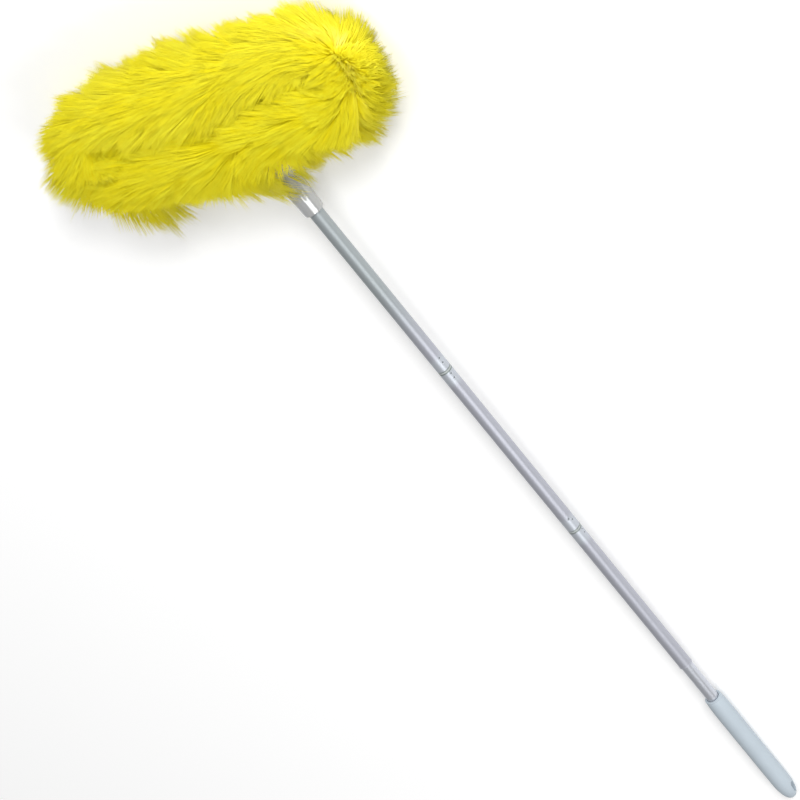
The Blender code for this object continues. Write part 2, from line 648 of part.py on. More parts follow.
def make_lock_cone(body, collection, material):
    """The spindle in the end of the inner tube: a shank, a flange, and a stem with the spreading cone."""
    fit = INNER_TUBE_RADIUS - TUBE_WALL - FIT_GAP
    flange_end = INNER_TUBE_X - FIT_GAP
    flange_start = flange_end - LOCK_FLANGE + FIT_GAP
    collet_end = INNER_TUBE_X - LOCK_FLANGE - FIT_GAP
    collet_start = collet_end - COLLET_LENGTH
    cone_small = collet_start + CONE_LENGTH
    outline = [
        (flange_end + LOCK_SHANK, 0), (flange_end + LOCK_SHANK, fit), (flange_end, fit),
        (flange_end, INNER_TUBE_RADIUS), (flange_start, INNER_TUBE_RADIUS), (flange_start, LOCK_STEM_RADIUS),
        (cone_small, LOCK_STEM_RADIUS), (collet_start, CONE_RADIUS),
        (collet_start - CONE_TIP, CONE_RADIUS), (collet_start - CONE_TIP, 0)]
    return turned("lock_cone", outline, body, collection, material, INSERT_SIDES)


def grip_side():
    """The grip's outside, from its mouth to its rounded end, as (x, radius) points."""
    points = [(GRIP_X, GRIP_MOUTH_RADIUS - GRIP_EDGE), (GRIP_X + GRIP_EDGE, GRIP_MOUTH_RADIUS)]
    for step in range(1, GRIP_SWELL_STEPS + 1):
        share = step / GRIP_SWELL_STEPS
        swell = math.sin(math.pi / 2 * share)
        points.append((GRIP_X + GRIP_EDGE + GRIP_SWELL * share,
                       GRIP_MOUTH_RADIUS + (GRIP_RADIUS - GRIP_MOUTH_RADIUS) * swell))
    for step in range(GRIP_TIP_STEPS):
        angle = math.pi / 2 * step / GRIP_TIP_STEPS
        along = math.sin(angle) ** (2 / GRIP_TIP_ROUNDNESS)
        radius = GRIP_RADIUS * math.cos(angle) ** (2 / GRIP_TIP_ROUNDNESS)
        points.append((GRIP_END_X - GRIP_TIP + GRIP_TIP * along, radius))
    return points


def make_grip(body, collection, cutters, material):
    """The moulded handle: a long bore for the inner tube, a bullet end, and the hanging hole across it."""
    bore = INNER_TUBE_RADIUS + FIT_GAP
    bottom = GRIP_X + GRIP_BORE_DEPTH
    outline = [(GRIP_END_X, 0), *reversed(grip_side()), (GRIP_X, bore), (bottom, bore), (bottom, 0)]
    grip = turned("grip", outline, body, collection, material, POLE_SIDES)
    bm = bmesh.new()
    ends = HOLE_LENGTH - HOLE_WIDTH
    centre_x = GRIP_END_X - HOLE_FROM_TIP - HOLE_LENGTH / 2
    turn = Matrix.Rotation(math.pi / 2, 4, "X") @ Matrix.Rotation(math.pi / HOLE_SIDES, 4, "Z")
    bmesh.ops.create_cone(
        bm, cap_ends=True, segments=HOLE_SIDES, radius1=HOLE_WIDTH / 2, radius2=HOLE_WIDTH / 2,
        depth=2 * GRIP_RADIUS + 4 * MM, matrix=turn)
    for vert in bm.verts:
        vert.co.x += math.copysign(ends / 2, vert.co.x) + centre_x
    hole = bpy.data.meshes.new("hanging_hole")
    bm.to_mesh(hole)
    bm.free()
    combine(grip, tool("hanging_hole", hole, body, cutters), "DIFFERENCE")
    return grip


def lying_slope():
    """The pole's slope, as an angle, and how high its frame's origin then lies above the floor.

    The near wire lies WIRE_HEIGHT above the floor and the lowest ring of the grip touches it.
    """
    low, high = 0.0, 0.2
    for _ in range(60):
        slope = (low + high) / 2
        raised = WIRE_HEIGHT + NEAR_WIRE_X * math.sin(slope)
        sunk = max(x * math.sin(slope) + radius * math.cos(slope) for x, radius in grip_side())
        if raised > sunk:
            low = slope
        else:
            high = slope
    return slope, raised


def box_of(objects):
    """Lowest and highest corner of some objects, in the world."""
    bpy.context.view_layer.update()
    depsgraph = bpy.context.evaluated_depsgraph_get()
    corners = []
    for obj in objects:
        evaluated = obj.evaluated_get(depsgraph)
        mesh = evaluated.to_mesh()
        places = np.array([evaluated.matrix_world @ vert.co for vert in mesh.vertices])
        evaluated.to_mesh_clear()
        corners += [places.min(axis=0), places.max(axis=0)]
    return np.min(corners, axis=0), np.max(corners, axis=0)


def build():
    """Model the whole duster."""
    clear_scene()
    parts = new_collection("ceiling_fan_duster")
    cutters = new_collection("cutters")
    finish = {name: make_material(name) for name in MATERIALS}
    slope, raised = lying_slope()

    duster = bpy.data.objects.new("duster", None)
    parts.objects.link(duster)
    duster.rotation_euler = (0, slope, 0)
    head = add_body("head_axis", 0, duster, parts)
    upper = add_body("upper_axis", JOINT_1_X, duster, parts)
    middle = add_body("middle_axis", MIDDLE_TUBE_X, duster, parts)
    lower = add_body("lower_axis", JOINT_2_X, duster, parts)
    lock = add_body("lock_axis", INNER_TUBE_X, duster, parts)
    handle = add_body("grip_axis", GRIP_X, duster, parts)

    def height(point):
        return raised - point.x * math.sin(slope) + point.z * math.cos(slope)

    chance = random.Random(FIBRE_SEED)
    for name, frames in band_plan():
        make_band(name, frames, height, chance, head, parts, finish["yellow_fibre"])
    make_wire(head, parts, cutters, finish["galvanised_wire"])
    make_wire_plug(head, parts, cutters, finish["grey_insert"])
    make_ferrule(head, parts, finish["clear_plastic"])

    tube = make_tube("upper_tube", UPPER_TUBE_X, TUBE_LENGTH, TUBE_RADIUS, upper, parts, finish["grey_steel"])
    plug = make_plug("upper_tube_plug", UPPER_PLUG_X, upper, parts, finish["grey_insert"])
    socket = make_socket("upper_tube_socket", UPPER_TUBE_X + TUBE_LENGTH, upper, parts, finish["grey_insert"])
    stake(tube, plug, stake_places(UPPER_TUBE_X, 1, PLUG_STAKE), STAKE_FACING_HIDDEN, upper, cutters)
    stake(tube, socket, stake_places(UPPER_TUBE_X + TUBE_LENGTH, -1, SOCKET_STAKE), STAKE_FACING, upper, cutters)

    tube = make_tube("middle_tube", MIDDLE_TUBE_X, TUBE_LENGTH, TUBE_RADIUS, middle, parts, finish["grey_steel"])
    plug = make_plug("middle_tube_plug", JOINT_1_X, middle, parts, finish["grey_insert"])
    socket = make_socket("middle_tube_socket", MIDDLE_TUBE_X + TUBE_LENGTH, middle, parts, finish["grey_insert"])
    stake(tube, plug, stake_places(MIDDLE_TUBE_X, 1, PLUG_STAKE), STAKE_FACING, middle, cutters)
    stake(tube, socket, stake_places(MIDDLE_TUBE_X + TUBE_LENGTH, -1, SOCKET_STAKE), STAKE_FACING, middle,
          cutters)

    tube = make_lower_tube(lower, parts, finish["grey_steel"])
    plug = make_plug("lower_tube_plug", JOINT_2_X, lower, parts, finish["grey_insert"])
    stake(tube, plug, stake_places(LOWER_TUBE_X, 1, PLUG_STAKE), STAKE_FACING_LOWER, lower, cutters)

    make_collet(lock, parts, cutters, finish["grey_insert"])
    make_lock_cone(handle, parts, finish["grey_insert"])
    inner_length = INNER_TUBE_INSIDE + INNER_TUBE_SHOWN + GRIP_BORE_DEPTH - FIT_GAP
    make_tube("inner_tube", INNER_TUBE_X, inner_length, INNER_TUBE_RADIUS, handle, parts, finish["bright_steel"])
    make_grip(handle, parts, cutters, finish["grip_plastic"])

    pieces = [obj for obj in parts.objects if obj.type != "EMPTY"]
    duster.location.z = raised
    low, high = box_of(pieces)
    duster.location.x = -(low[0] + high[0]) / 2
    duster.location.y = -(low[1] + high[1]) / 2
    bpy.context.view_layer.update()
    print("slope in degrees", round(math.degrees(slope), 4))
    print("pole frame's origin", [round(value, 6) for value in duster.location])
    print("box", [round(value, 5) for value in high - low], "low z", round(low[2], 6))
    for body in (head, upper, middle, lower, lock, handle):
        print(body.name, [round(value, 6) for value in body.matrix_world.translation])


build()
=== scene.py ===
# %% [markdown]
# # A ceiling fan duster, dressed for its picture
# The duster is a long brush of yellow fibre, bound between two wires that are twisted together and bent to a
# closed loop. A fan blade goes through the slot in the middle of the loop. A clear plastic ferrule joins the brush
# to a grey pole, whose three tubes screw end to end, and a thinner tube slides out of the last one with the grip.
# The sizes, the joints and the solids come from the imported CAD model. This file only adds what the eye sees.

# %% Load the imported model
import json
import math

import bpy
import numpy as np
from mathutils import Euler, Matrix, Vector


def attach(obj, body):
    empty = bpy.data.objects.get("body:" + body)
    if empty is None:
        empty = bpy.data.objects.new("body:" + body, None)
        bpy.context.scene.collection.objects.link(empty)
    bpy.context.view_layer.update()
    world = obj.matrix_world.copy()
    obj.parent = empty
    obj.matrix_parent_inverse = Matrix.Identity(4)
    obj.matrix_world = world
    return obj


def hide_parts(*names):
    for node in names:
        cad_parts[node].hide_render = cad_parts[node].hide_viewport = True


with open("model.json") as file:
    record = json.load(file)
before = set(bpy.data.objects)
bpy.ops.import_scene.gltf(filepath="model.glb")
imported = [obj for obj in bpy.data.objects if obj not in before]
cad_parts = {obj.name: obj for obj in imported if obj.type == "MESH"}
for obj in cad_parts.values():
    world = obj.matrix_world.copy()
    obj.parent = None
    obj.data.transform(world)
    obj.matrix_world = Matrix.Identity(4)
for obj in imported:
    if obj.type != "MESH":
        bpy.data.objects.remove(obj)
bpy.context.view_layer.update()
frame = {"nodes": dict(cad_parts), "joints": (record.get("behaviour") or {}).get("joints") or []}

MM = 0.001

# %% [markdown]
# ## The pole's own frame
# The duster lies on the floor with its pole sloping a little, so every piece is easier to draw in the pole's own
# frame: x runs from the mouth of the ferrule (x = 0) to the grip, y runs along the brush, and z is square to the
# loop. The joint that screws the brush on gives that frame's place, and one matrix then moves a finished piece
# to where the CAD says it is.

# %% Find the pole's frame
head_joint = next(joint for joint in frame["joints"] if joint["name"] == "head_screw")
along_pole = -Vector(head_joint["axis"]).normalized()
slope = math.atan2(-along_pole.z, along_pole.x)
pole_frame = Matrix.Translation(head_joint["pos_m"]) @ Matrix.Rotation(slope, 4, "Y")
print("slope in degrees", round(math.degrees(slope), 3))

# %% [markdown]
# ## The camera
# A camera is set where the photographer stood: beyond the brush, to its right and above, about 39 degrees above
# the floor. The camera is rolled, so that the pole runs from the top left to the bottom right of the picture.
# Its place was found by matching the ends and widths of the tubes, so the lens needs no shift.

# %% Set the camera
CAMERA_PLACE = Vector((-1125.59, 1655.17, 1812.99)) * MM
CAMERA_TURN = Euler([math.radians(angle) for angle in (-48.338, 17.797, 53.828)])
PICTURE_PIXELS = 800
LENS_PIXELS = 2697.2        # focal length in pixels of that picture
SENSOR = 36.0               # mm
NEAREST, FARTHEST = 0.05, 60

camera = bpy.data.objects.new("camera", bpy.data.cameras.new("camera"))
bpy.context.scene.collection.objects.link(camera)
camera.data.sensor_width = SENSOR
camera.data.lens = LENS_PIXELS / PICTURE_PIXELS * SENSOR
camera.data.clip_start, camera.data.clip_end = NEAREST, FARTHEST
camera.matrix_world = pole_frame @ Matrix.Translation(CAMERA_PLACE) @ CAMERA_TURN.to_matrix().to_4x4()
bpy.context.scene.camera = camera
print("lens in mm", round(camera.data.lens, 1))

# %% [markdown]
# ## Sizes
# These lengths are the CAD model's, in the pole's frame. They are repeated here because a rounder piece has to sit
# exactly where its CAD solid is.

# %% Sizes of the pole and the brush
TUBE_RADIUS, TUBE_WALL = 8.0 * MM, 0.4 * MM
FIT_GAP = 0.3 * MM
TUBE_LENGTH, LOWER_TUBE_LENGTH = 252 * MM, 236 * MM
FLANGE = 1.8 * MM
UPPER_TUBE_X = -19 * MM
UPPER_PLUG_X = UPPER_TUBE_X - FIT_GAP - FLANGE
JOINT_1_X = UPPER_TUBE_X + TUBE_LENGTH + FIT_GAP
MIDDLE_TUBE_X = JOINT_1_X + FLANGE + FIT_GAP
JOINT_2_X = MIDDLE_TUBE_X + TUBE_LENGTH + FIT_GAP
LOWER_TUBE_X = JOINT_2_X + FLANGE + FIT_GAP
LOWER_MOUTH_X = LOWER_TUBE_X + LOWER_TUBE_LENGTH
INNER_TUBE_RADIUS = TUBE_RADIUS - TUBE_WALL - FIT_GAP
GRIP_X = LOWER_MOUTH_X + 60 * MM
GRIP_END_X = GRIP_X + 187 * MM
INNER_TUBE_X = LOWER_MOUTH_X - 120 * MM
FERRULE_TOP_X = -68 * MM
WIRE_RADIUS = 1.1 * MM      # of one strand
NEAR_WIRE_X = FERRULE_TOP_X - 41 * MM
LOOP_HALF_WIDTH, LOOP_HALF_STRAIGHT, LOOP_SHIFT = 33 * MM, 132 * MM, -16 * MM
LOOP_X = NEAR_WIRE_X - LOOP_HALF_WIDTH
FAR_WIRE_X = LOOP_X - LOOP_HALF_WIDTH
print("mouth of the lower tube at", round(LOWER_MOUTH_X / MM, 1), "mm, tip of the grip at",
      round(GRIP_END_X / MM, 1), "mm")


# %% [markdown]
# ## Working with operators
# Blender's operators act on whatever is selected, and the imported model arrives with its pieces selected. So each
# step first selects one object, or the few points of it that the next edit moves. A finished piece is moved
# from the pole's frame to its place, and then tied to the body that it rides on, and the CAD node that it
# stands for is hidden.

# %% Helpers that select, cut and finish a piece
MERGE = 0.001 * MM          # points closer than this are one point
SMOOTH_ANGLE = 35           # degrees between two faces, above which an edge stays sharp


def select_only(obj):
    """Make one object the selected and active one."""
    bpy.ops.object.select_all(action="DESELECT")
    obj.select_set(True)
    bpy.context.view_layer.objects.active = obj


def select_where(obj, test):
    """Select the points of one object that pass a test, for the next edit."""
    select_only(obj)
    for vert in obj.data.vertices:
        vert.select = test(vert)
    for part in (*obj.data.edges, *obj.data.polygons):
        part.select = False


def cut_out(piece, tool):
    """Cut a tool's shape out of a piece, and throw the tool away."""
    select_only(piece)
    cut = piece.modifiers.new("cut", "BOOLEAN")
    cut.object, cut.operation, cut.solver = tool, "DIFFERENCE", "EXACT"
    bpy.ops.object.modifier_apply(modifier=cut.name)
    bpy.data.objects.remove(tool)


def settle(obj, angle=SMOOTH_ANGLE):
    """Move a piece drawn in the pole's frame to its place, and shade it smooth except at its edges."""
    select_only(obj)
    obj.matrix_world = pole_frame
    bpy.ops.object.transform_apply(location=True, rotation=True, scale=True)
    bpy.ops.object.shade_smooth_by_angle(angle=math.radians(angle))
    return obj


def dress(piece, body, node, material):
    """Give a piece its material, tie it to its body, hide its CAD node, and print how many triangles it has."""
    piece.data.materials.clear()
    piece.data.materials.append(material)
    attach(piece, body)
    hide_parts(node)
    piece.data.calc_loop_triangles()
    print(piece.name, len(piece.data.loop_triangles), "triangles")


# %% [markdown]
# ## Drawing a turned piece
# Tubes, plugs, the ferrule and the grip are all round about the pole. On a lathe, or in a mould, such a piece is
# its outline turned about its axis. Here a ring of points is extruded along the outline: each new ring is
# moved along the pole and scaled to its radius. That gives clean rings of faces, and more rings can be set where
# a dimple needs them.

# %% Helpers for turned pieces
def turned(name, outline, sides, closed=False):
    """Extrude a ring along an outline of (x, radius) points, and fill or join its two ends."""
    bpy.ops.object.select_all(action="DESELECT")
    before_x, before_radius = outline[0]
    bpy.ops.mesh.primitive_circle_add(vertices=sides, radius=before_radius, location=(before_x, 0, 0),
                                      rotation=(0, math.pi / 2, 0), fill_type="NOTHING" if closed else "NGON")
    obj = bpy.context.object
    obj.name = obj.data.name = name
    bpy.ops.object.transform_apply(location=True, rotation=True, scale=True)
    bpy.ops.object.mode_set(mode="EDIT")
    bpy.ops.mesh.select_all(action="SELECT")
    for x, radius in outline[1:] + (outline[:1] if closed else []):
        bpy.ops.mesh.extrude_edges_move(TRANSFORM_OT_translate={"value": (x - before_x, 0, 0)})
        share = radius / before_radius
        bpy.ops.transform.resize(value=(1, share, share), center_override=(x, 0, 0))
        before_x, before_radius = x, radius
    if not closed:
        bpy.ops.mesh.edge_face_add()
    bpy.ops.mesh.select_all(action="SELECT")
    bpy.ops.mesh.remove_doubles(threshold=MERGE)
    bpy.ops.mesh.normals_make_consistent(inside=False)
    bpy.ops.object.mode_set(mode="OBJECT")
    return obj


def rounded(middle_x, middle_radius, size, start, stop, steps=6):
    """Points of a rounded corner: an arc of that size about its middle, between two angles in degrees."""
    points = []
    for step in range(steps + 1):
        angle = math.radians(start + (stop - start) * step / steps)
        points.append((middle_x + size * math.cos(angle), middle_radius + size * math.sin(angle)))
    return points


# %% [markdown]
# ## Writing shaders as sums
# A procedural finish is arithmetic on patterns: a scratch mask times a depth, added to a base roughness. Drawing
# each sum as nodes by hand takes many lines, so a small class wraps a node's output. Adding or multiplying two of
# them adds the Math node that does it, and the material reads like the sum that it is.

# %% A value that can be summed, and a finish made of nodes
class Value:
    """One output of a shader node. Arithmetic on it adds Math nodes."""

    def __init__(self, finish, socket):
        self.finish = finish
        self.socket = socket

    def math(self, operation, *others):
        return self.finish.node("ShaderNodeMath", {"operation": operation}, [self, *others])

    def __add__(self, other):
        return self.math("ADD", other)

    def __sub__(self, other):
        return self.math("SUBTRACT", other)

    def __rsub__(self, other):
        return self.finish.node("ShaderNodeMath", {"operation": "SUBTRACT"}, [other, self])

    def __mul__(self, other):
        return self.math("MULTIPLY", other)

    __radd__ = __add__
    __rmul__ = __mul__

    def between(self, low, high):
        """0 below low, 1 above high, and a smooth step between them."""
        return self.finish.node("ShaderNodeMapRange", {"interpolation_type": "SMOOTHSTEP"},
                                {"Value": self, "From Min": low, "From Max": high})


class Finish:
    """A material, its Principled shader and the nodes that feed it."""

    def __init__(self, name, colour, **plain):
        self.material = bpy.data.materials.new(name)
        self.material.use_nodes = True
        self.tree = self.material.node_tree
        self.shader = self.tree.nodes["Principled BSDF"]
        self.shader.inputs["Base Color"].default_value = (*colour, 1)
        self.material.diffuse_color = (*colour, 1)
        for name_of_socket, value in plain.items():
            self.shader.inputs[name_of_socket.replace("_", " ")].default_value = value

    def put(self, socket, value):
        if isinstance(value, Value):
            self.tree.links.new(value.socket, socket)
        else:
            socket.default_value = value

    def node(self, kind, settings=None, values=(), output=0):
        """Add a node. Its settings are set first, then the values or links of its sockets."""
        node = self.tree.nodes.new(kind)
        for key, setting in (settings or {}).items():
            setattr(node, key, setting)
        pairs = values.items() if isinstance(values, dict) else enumerate(values)
        for key, value in pairs:
            self.put(node.inputs[key], value)
        return Value(self, node.outputs[output])

    def mix(self, factor, first, second):
        """Blend two colours."""
        first, second = [(*c, 1) if isinstance(c, tuple) else c for c in (first, second)]
        return self.node("ShaderNodeMix", {"data_type": "RGBA"}, {0: factor, 6: first, 7: second}, 2)

    def noise(self, place, scale, detail=2.0, roughness=0.5):
        return self.node("ShaderNodeTexNoise", {}, {"Vector": place, "Scale": scale, "Detail": detail,
                                                    "Roughness": roughness})

    def pole_place(self, stretch=(1, 1, 1)):
        """Object coordinates turned to the pole's frame, and stretched."""
        where = self.node("ShaderNodeTexCoord", {}, (), "Object")
        moved = self.node("ShaderNodeMapping", {"vector_type": "TEXTURE"},
                          {"Vector": where, "Location": tuple(pole_frame.translation), "Rotation": (0, slope, 0)})
        return self.node("ShaderNodeMapping", {"vector_type": "POINT"}, {"Vector": moved, "Scale": stretch})

    def along_pole(self, x):
        """How far a point is from a place on the pole, along the pole."""
        parts = self.node("ShaderNodeSeparateXYZ", {}, {"Vector": self.pole_place()})
        return (parts - x).math("ABSOLUTE")

    def attribute(self, name):
        return self.node("ShaderNodeAttribute", {"attribute_name": name}, (), "Fac")

    def feed(self, socket, value):
        self.put(self.shader.inputs[socket], value)

    def bump(self, height, strength, distance):
        self.feed("Normal", self.node("ShaderNodeBump", {}, {"Height": height, "Strength": strength,
                                                             "Distance": distance}))


# %% [markdown]
# ## Finishes of the pole
# The tubes are thin steel with a grey coat. Fine brush marks run along it and break its gloss into short streaks,
# and it is cloudy, with a few dark specks. Towards the brush it is painted darker and greener: painted shade where
# the pole's highlight fades. It is paler at the two joints, where a grey-green ring shows. Every punched dimple gets
# painted shade with some bare dark metal in its hollow, and a painted highlight round its rim: the tube's mesh holds
# how near a point is to one, as an attribute that the finish reads.

# %% Make the steel finishes
BRUSH_MARKS, MARK_DEPTH = (420, 900, 900), 0.05 * MM        # marks a metre, along and across the pole
CLOUDS, SPECKS = 55, 900                                    # a metre
PAINTED_SHADE_START, PAINTED_SHADE_END, PAINTED_SHADE_SHARE = 120 * MM, 230 * MM, 0.8  # from the upper tube's end
PALE_START, PALE_END, PALE_SHARE = 14 * MM, 24 * MM, 0.5    # from a joint
RING_START, RING_END = 1.6 * MM, 2.6 * MM                   # from a joint
PAINTED_SHADE_GREY, PALE_GREY, RING_GREY = (0.33, 0.37, 0.375), (0.55, 0.60, 0.64), (0.20, 0.235, 0.225)
PAINTED_RIM_HIGHLIGHT_GREY, PAINTED_RIM_HIGHLIGHT_SHARE, DIMPLE_METAL_AND_SHADE_GREY = (0.62, 0.66, 0.70), 0.6, (0.10, 0.11, 0.12)


def shades(colour, spread):
    """A darker and a lighter shade of a colour."""
    return (tuple(value * (1 - spread) for value in colour),
            tuple(min(value * (1 + spread), 1) for value in colour))


def coated_steel(name, colour, metallic, roughness):
    """Marks, cloud, specks, pale joints, painted shade near the brush; dark metal, painted shade and highlight at
    dimples.
    """
    finish = Finish(name, colour, Metallic=metallic, Specular_IOR_Level=0.3)
    place = finish.pole_place()
    dark, light = shades(colour, 0.16)
    marks = finish.noise(finish.pole_place(BRUSH_MARKS), 1.0, 3.0, 0.6)
    cloud = finish.noise(place, CLOUDS, 3.0)
    coat_and_painted_light = finish.mix((marks - 0.5) * 0.55 + (cloud - 0.5) * 0.25 + 0.5, dark, light)
    # Painted shade: towards the brush the coat is painted darker and greener, where the pole's highlight fades.
    painted_shade = 1 - finish.along_pole(UPPER_TUBE_X).between(PAINTED_SHADE_START, PAINTED_SHADE_END)
    coat_and_painted_light = finish.mix(painted_shade * PAINTED_SHADE_SHARE, coat_and_painted_light, PAINTED_SHADE_GREY)
    for x in (JOINT_1_X + FLANGE / 2, JOINT_2_X + FLANGE / 2):
        from_joint = finish.along_pole(x)
        pale = 1 - from_joint.between(PALE_START, PALE_END)
        coat_and_painted_light = finish.mix(pale * PALE_SHARE, coat_and_painted_light, PALE_GREY)
        coat_and_painted_light = finish.mix(1 - from_joint.between(RING_START, RING_END), coat_and_painted_light, RING_GREY)
    # Painted highlight round each dimple's rim, and painted shade with some bare dark metal in its hollow.
    stake = finish.attribute("stake")
    coat_and_painted_light = finish.mix(stake.between(0.05, 0.3) * PAINTED_RIM_HIGHLIGHT_SHARE, coat_and_painted_light, PAINTED_RIM_HIGHLIGHT_GREY)
    coat_and_painted_light = finish.mix(stake.between(0.35, 0.6), coat_and_painted_light, DIMPLE_METAL_AND_SHADE_GREY)
    speck = finish.noise(place, SPECKS, 1.0).between(0.70, 0.80)
    finish.feed("Base Color", finish.mix(speck * 0.25, coat_and_painted_light, dark))
    finish.feed("Roughness", marks * 0.16 + (roughness - 0.08))
    finish.bump(marks, 0.25, MARK_DEPTH)
    return finish.material


first_steel = coated_steel("grey_steel_coated", (0.41, 0.42, 0.47), 0.50, 0.42)
bright_steel = coated_steel("bright_steel_drawn", (0.55, 0.57, 0.62), 0.7, 0.30)
print("steel finishes", first_steel.name, bright_steel.name)

# %% [markdown]
# ## Finishes of the plastic pieces
# The grip is matt plastic. Its mould was sparked, which leaves a faint grain, and its colour clouds a little.
# The inserts between the tubes are a greyer plastic, made the same way. One function makes both.

# %% Make the plastic finishes
GRAINS, BLOTCHES = 1400, 40         # a metre


def moulded(name, colour, roughness, grain):
    """Moulded plastic with a fine grain and slight changes of tone."""
    finish = Finish(name, colour)
    place = finish.pole_place()
    dark, light = shades(colour, 0.07)
    fine = finish.noise(place, GRAINS, 2.0)
    cloud = finish.noise(place, BLOTCHES, 3.0)
    finish.feed("Base Color", finish.mix((cloud - 0.5) * 0.8 + (fine - 0.5) * 0.4 + 0.5, dark, light))
    finish.feed("Roughness", fine * 0.14 + (roughness - 0.07))
    finish.bump(fine, 0.3, grain)
    return finish.material


grip_plastic = moulded("grip_plastic_moulded", (0.42, 0.48, 0.53), 0.52, 0.04 * MM)
insert_plastic = moulded("grey_insert_moulded", (0.40, 0.43, 0.43), 0.45, 0.03 * MM)
print("plastic finishes", grip_plastic.name, insert_plastic.name)

# %% [markdown]
# ## The three tubes
# Each tube holds its plastic inserts by pairs of small dimples punched into its wall. A dimple is modelled as it
# is made: one point of the wall is pushed inwards, and proportional editing takes its neighbours along. The
# tube's rings lie closer together there, so that the dimple comes out round.

# %% Helpers for a punched tube
POLE_SIDES = 96
TUBE_SMOOTH_ANGLE = 28
TUBE_EDGE = 0.1 * MM                # how far the outer edges of its ends are broken
STAKE_RADIUS, STAKE_DEPTH, STAKE_SPREAD = 1.75 * MM, 0.75 * MM, 1.15
RING_STEP, RINGS_BESIDE = 0.42 * MM, 6
END_STEP, LEAST_STEP = 0.15 * MM, 0.12 * MM


def wall_rings(start, end, places):
    """Places of the rings along a tube: its ends, and close rings round each dimple."""
    rings = {round(x, 7) for x in (start, start + END_STEP, end - END_STEP, end)}
    for place in places:
        for i in range(-RINGS_BESIDE, RINGS_BESIDE + 1):
            rings.add(round(place + RING_STEP * i, 7))
    close = sorted(ring for ring in rings if start <= ring <= end)
    return [ring for ring, after in zip(close, close[1:] + [math.inf]) if after - ring > LEAST_STEP]


def punch(tube, x, facing):
    """Push one dimple into the wall of a tube, and write on the mesh how near its points are."""
    angle = math.radians(facing)
    outwards = Vector((0, math.cos(angle), math.sin(angle)))
    target = Vector((x, 0, 0)) + outwards * TUBE_RADIUS
    nearest = min(tube.data.vertices, key=lambda vert: (vert.co - target).length).index
    near = tube.data.attributes.get("stake") or tube.data.attributes.new("stake", "FLOAT", "POINT")
    middle = tube.data.vertices[nearest].co.copy()
    for vert in tube.data.vertices:
        distance = (vert.co - middle).length
        if distance < STAKE_RADIUS:
            near.data[vert.index].value = 1 - distance / STAKE_RADIUS
    select_where(tube, lambda vert: vert.index == nearest)
    bpy.ops.object.mode_set(mode="EDIT")
    bpy.ops.transform.translate(value=-outwards * STAKE_DEPTH, use_proportional_edit=True,
                                proportional_edit_falloff="SMOOTH",
                                proportional_size=STAKE_RADIUS * STAKE_SPREAD)
    bpy.ops.object.mode_set(mode="OBJECT")


def make_tube(node, body, start, length, dimples, mouth=None):
    """A tube with its dimples, each given as (place along the pole, facing in degrees)."""
    end = start + length
    rings = wall_rings(start, end, [x for x, _ in dimples])
    outline = [(x, TUBE_RADIUS - TUBE_WALL) for x in rings]
    outline += mouth(end) if mouth else [(end, TUBE_RADIUS - TUBE_EDGE)]
    outline += [(x, TUBE_RADIUS) for x in reversed(rings[1:-1])]
    outline.append((start, TUBE_RADIUS - TUBE_EDGE))
    tube = turned(node + "_looks", outline, POLE_SIDES, closed=True)
    for x, facing in dimples:
        punch(tube, x, facing)
    dress(settle(tube, TUBE_SMOOTH_ANGLE), body, node, first_steel)


# %% [markdown]
# ## Where the dimples are
# At the joints the dimples stand where the photograph shows them, turned a little towards the camera and not
# quite in line, as punching by hand leaves them. The lower tube ends in a bead that is rolled over at its mouth.

# %% Model the tubes
BEAD_RADIUS, BEAD_BACK, BEAD_SINK = 0.7 * MM, 0.8 * MM, 0.35 * MM


def rolled_rim(end):
    """The bead that is rolled on the mouth of the lower tube."""
    bead = rounded(end - BEAD_BACK, TUBE_RADIUS - BEAD_SINK, BEAD_RADIUS, -30, 150, 10)
    return [(min(x, end), radius) for x, radius in bead]


upper_end, middle_end = UPPER_TUBE_X + TUBE_LENGTH, MIDDLE_TUBE_X + TUBE_LENGTH
make_tube("upper_tube", "upper_pole", UPPER_TUBE_X, TUBE_LENGTH, [
    (UPPER_TUBE_X + 13 * MM, 180), (UPPER_TUBE_X + 18 * MM, 180),
    (upper_end - 16.3 * MM, 22), (upper_end - 9.8 * MM, 22)])
make_tube("middle_tube", "middle_pole", MIDDLE_TUBE_X, TUBE_LENGTH, [
    (MIDDLE_TUBE_X + 3.9 * MM, 27), (MIDDLE_TUBE_X + 10.2 * MM, 27),
    (middle_end - 16.4 * MM, 36), (middle_end - 12.4 * MM, 10)])
make_tube("lower_tube", "lower_pole", LOWER_TUBE_X, LOWER_TUBE_LENGTH, [
    (LOWER_TUBE_X + 3.2 * MM, -3), (LOWER_TUBE_X + 8.8 * MM, -3)], rolled_rim)


# %% [markdown]
# ## The inserts between the tubes
# A plastic plug is pressed into one end of each tube. Its flange shows as a thin ring where two tubes meet, and
# its threaded spigot, which is plain here, screws into the next tube. The outline is the CAD's, with softened
# edges and more sides, because the ring is seen from close by.

# %% Model the screwed plugs
SPIGOT_RADIUS, SPIGOT_LENGTH, SPIGOT_CHAMFER = 5.6 * MM, 18 * MM, 1.4 * MM
PLUG_DEPTH, CORE_RADIUS, CORE_DEPTH = 24 * MM, 4.2 * MM, 20 * MM
FLANGE_EDGE = 0.25 * MM
PLUG_SIDES = 64


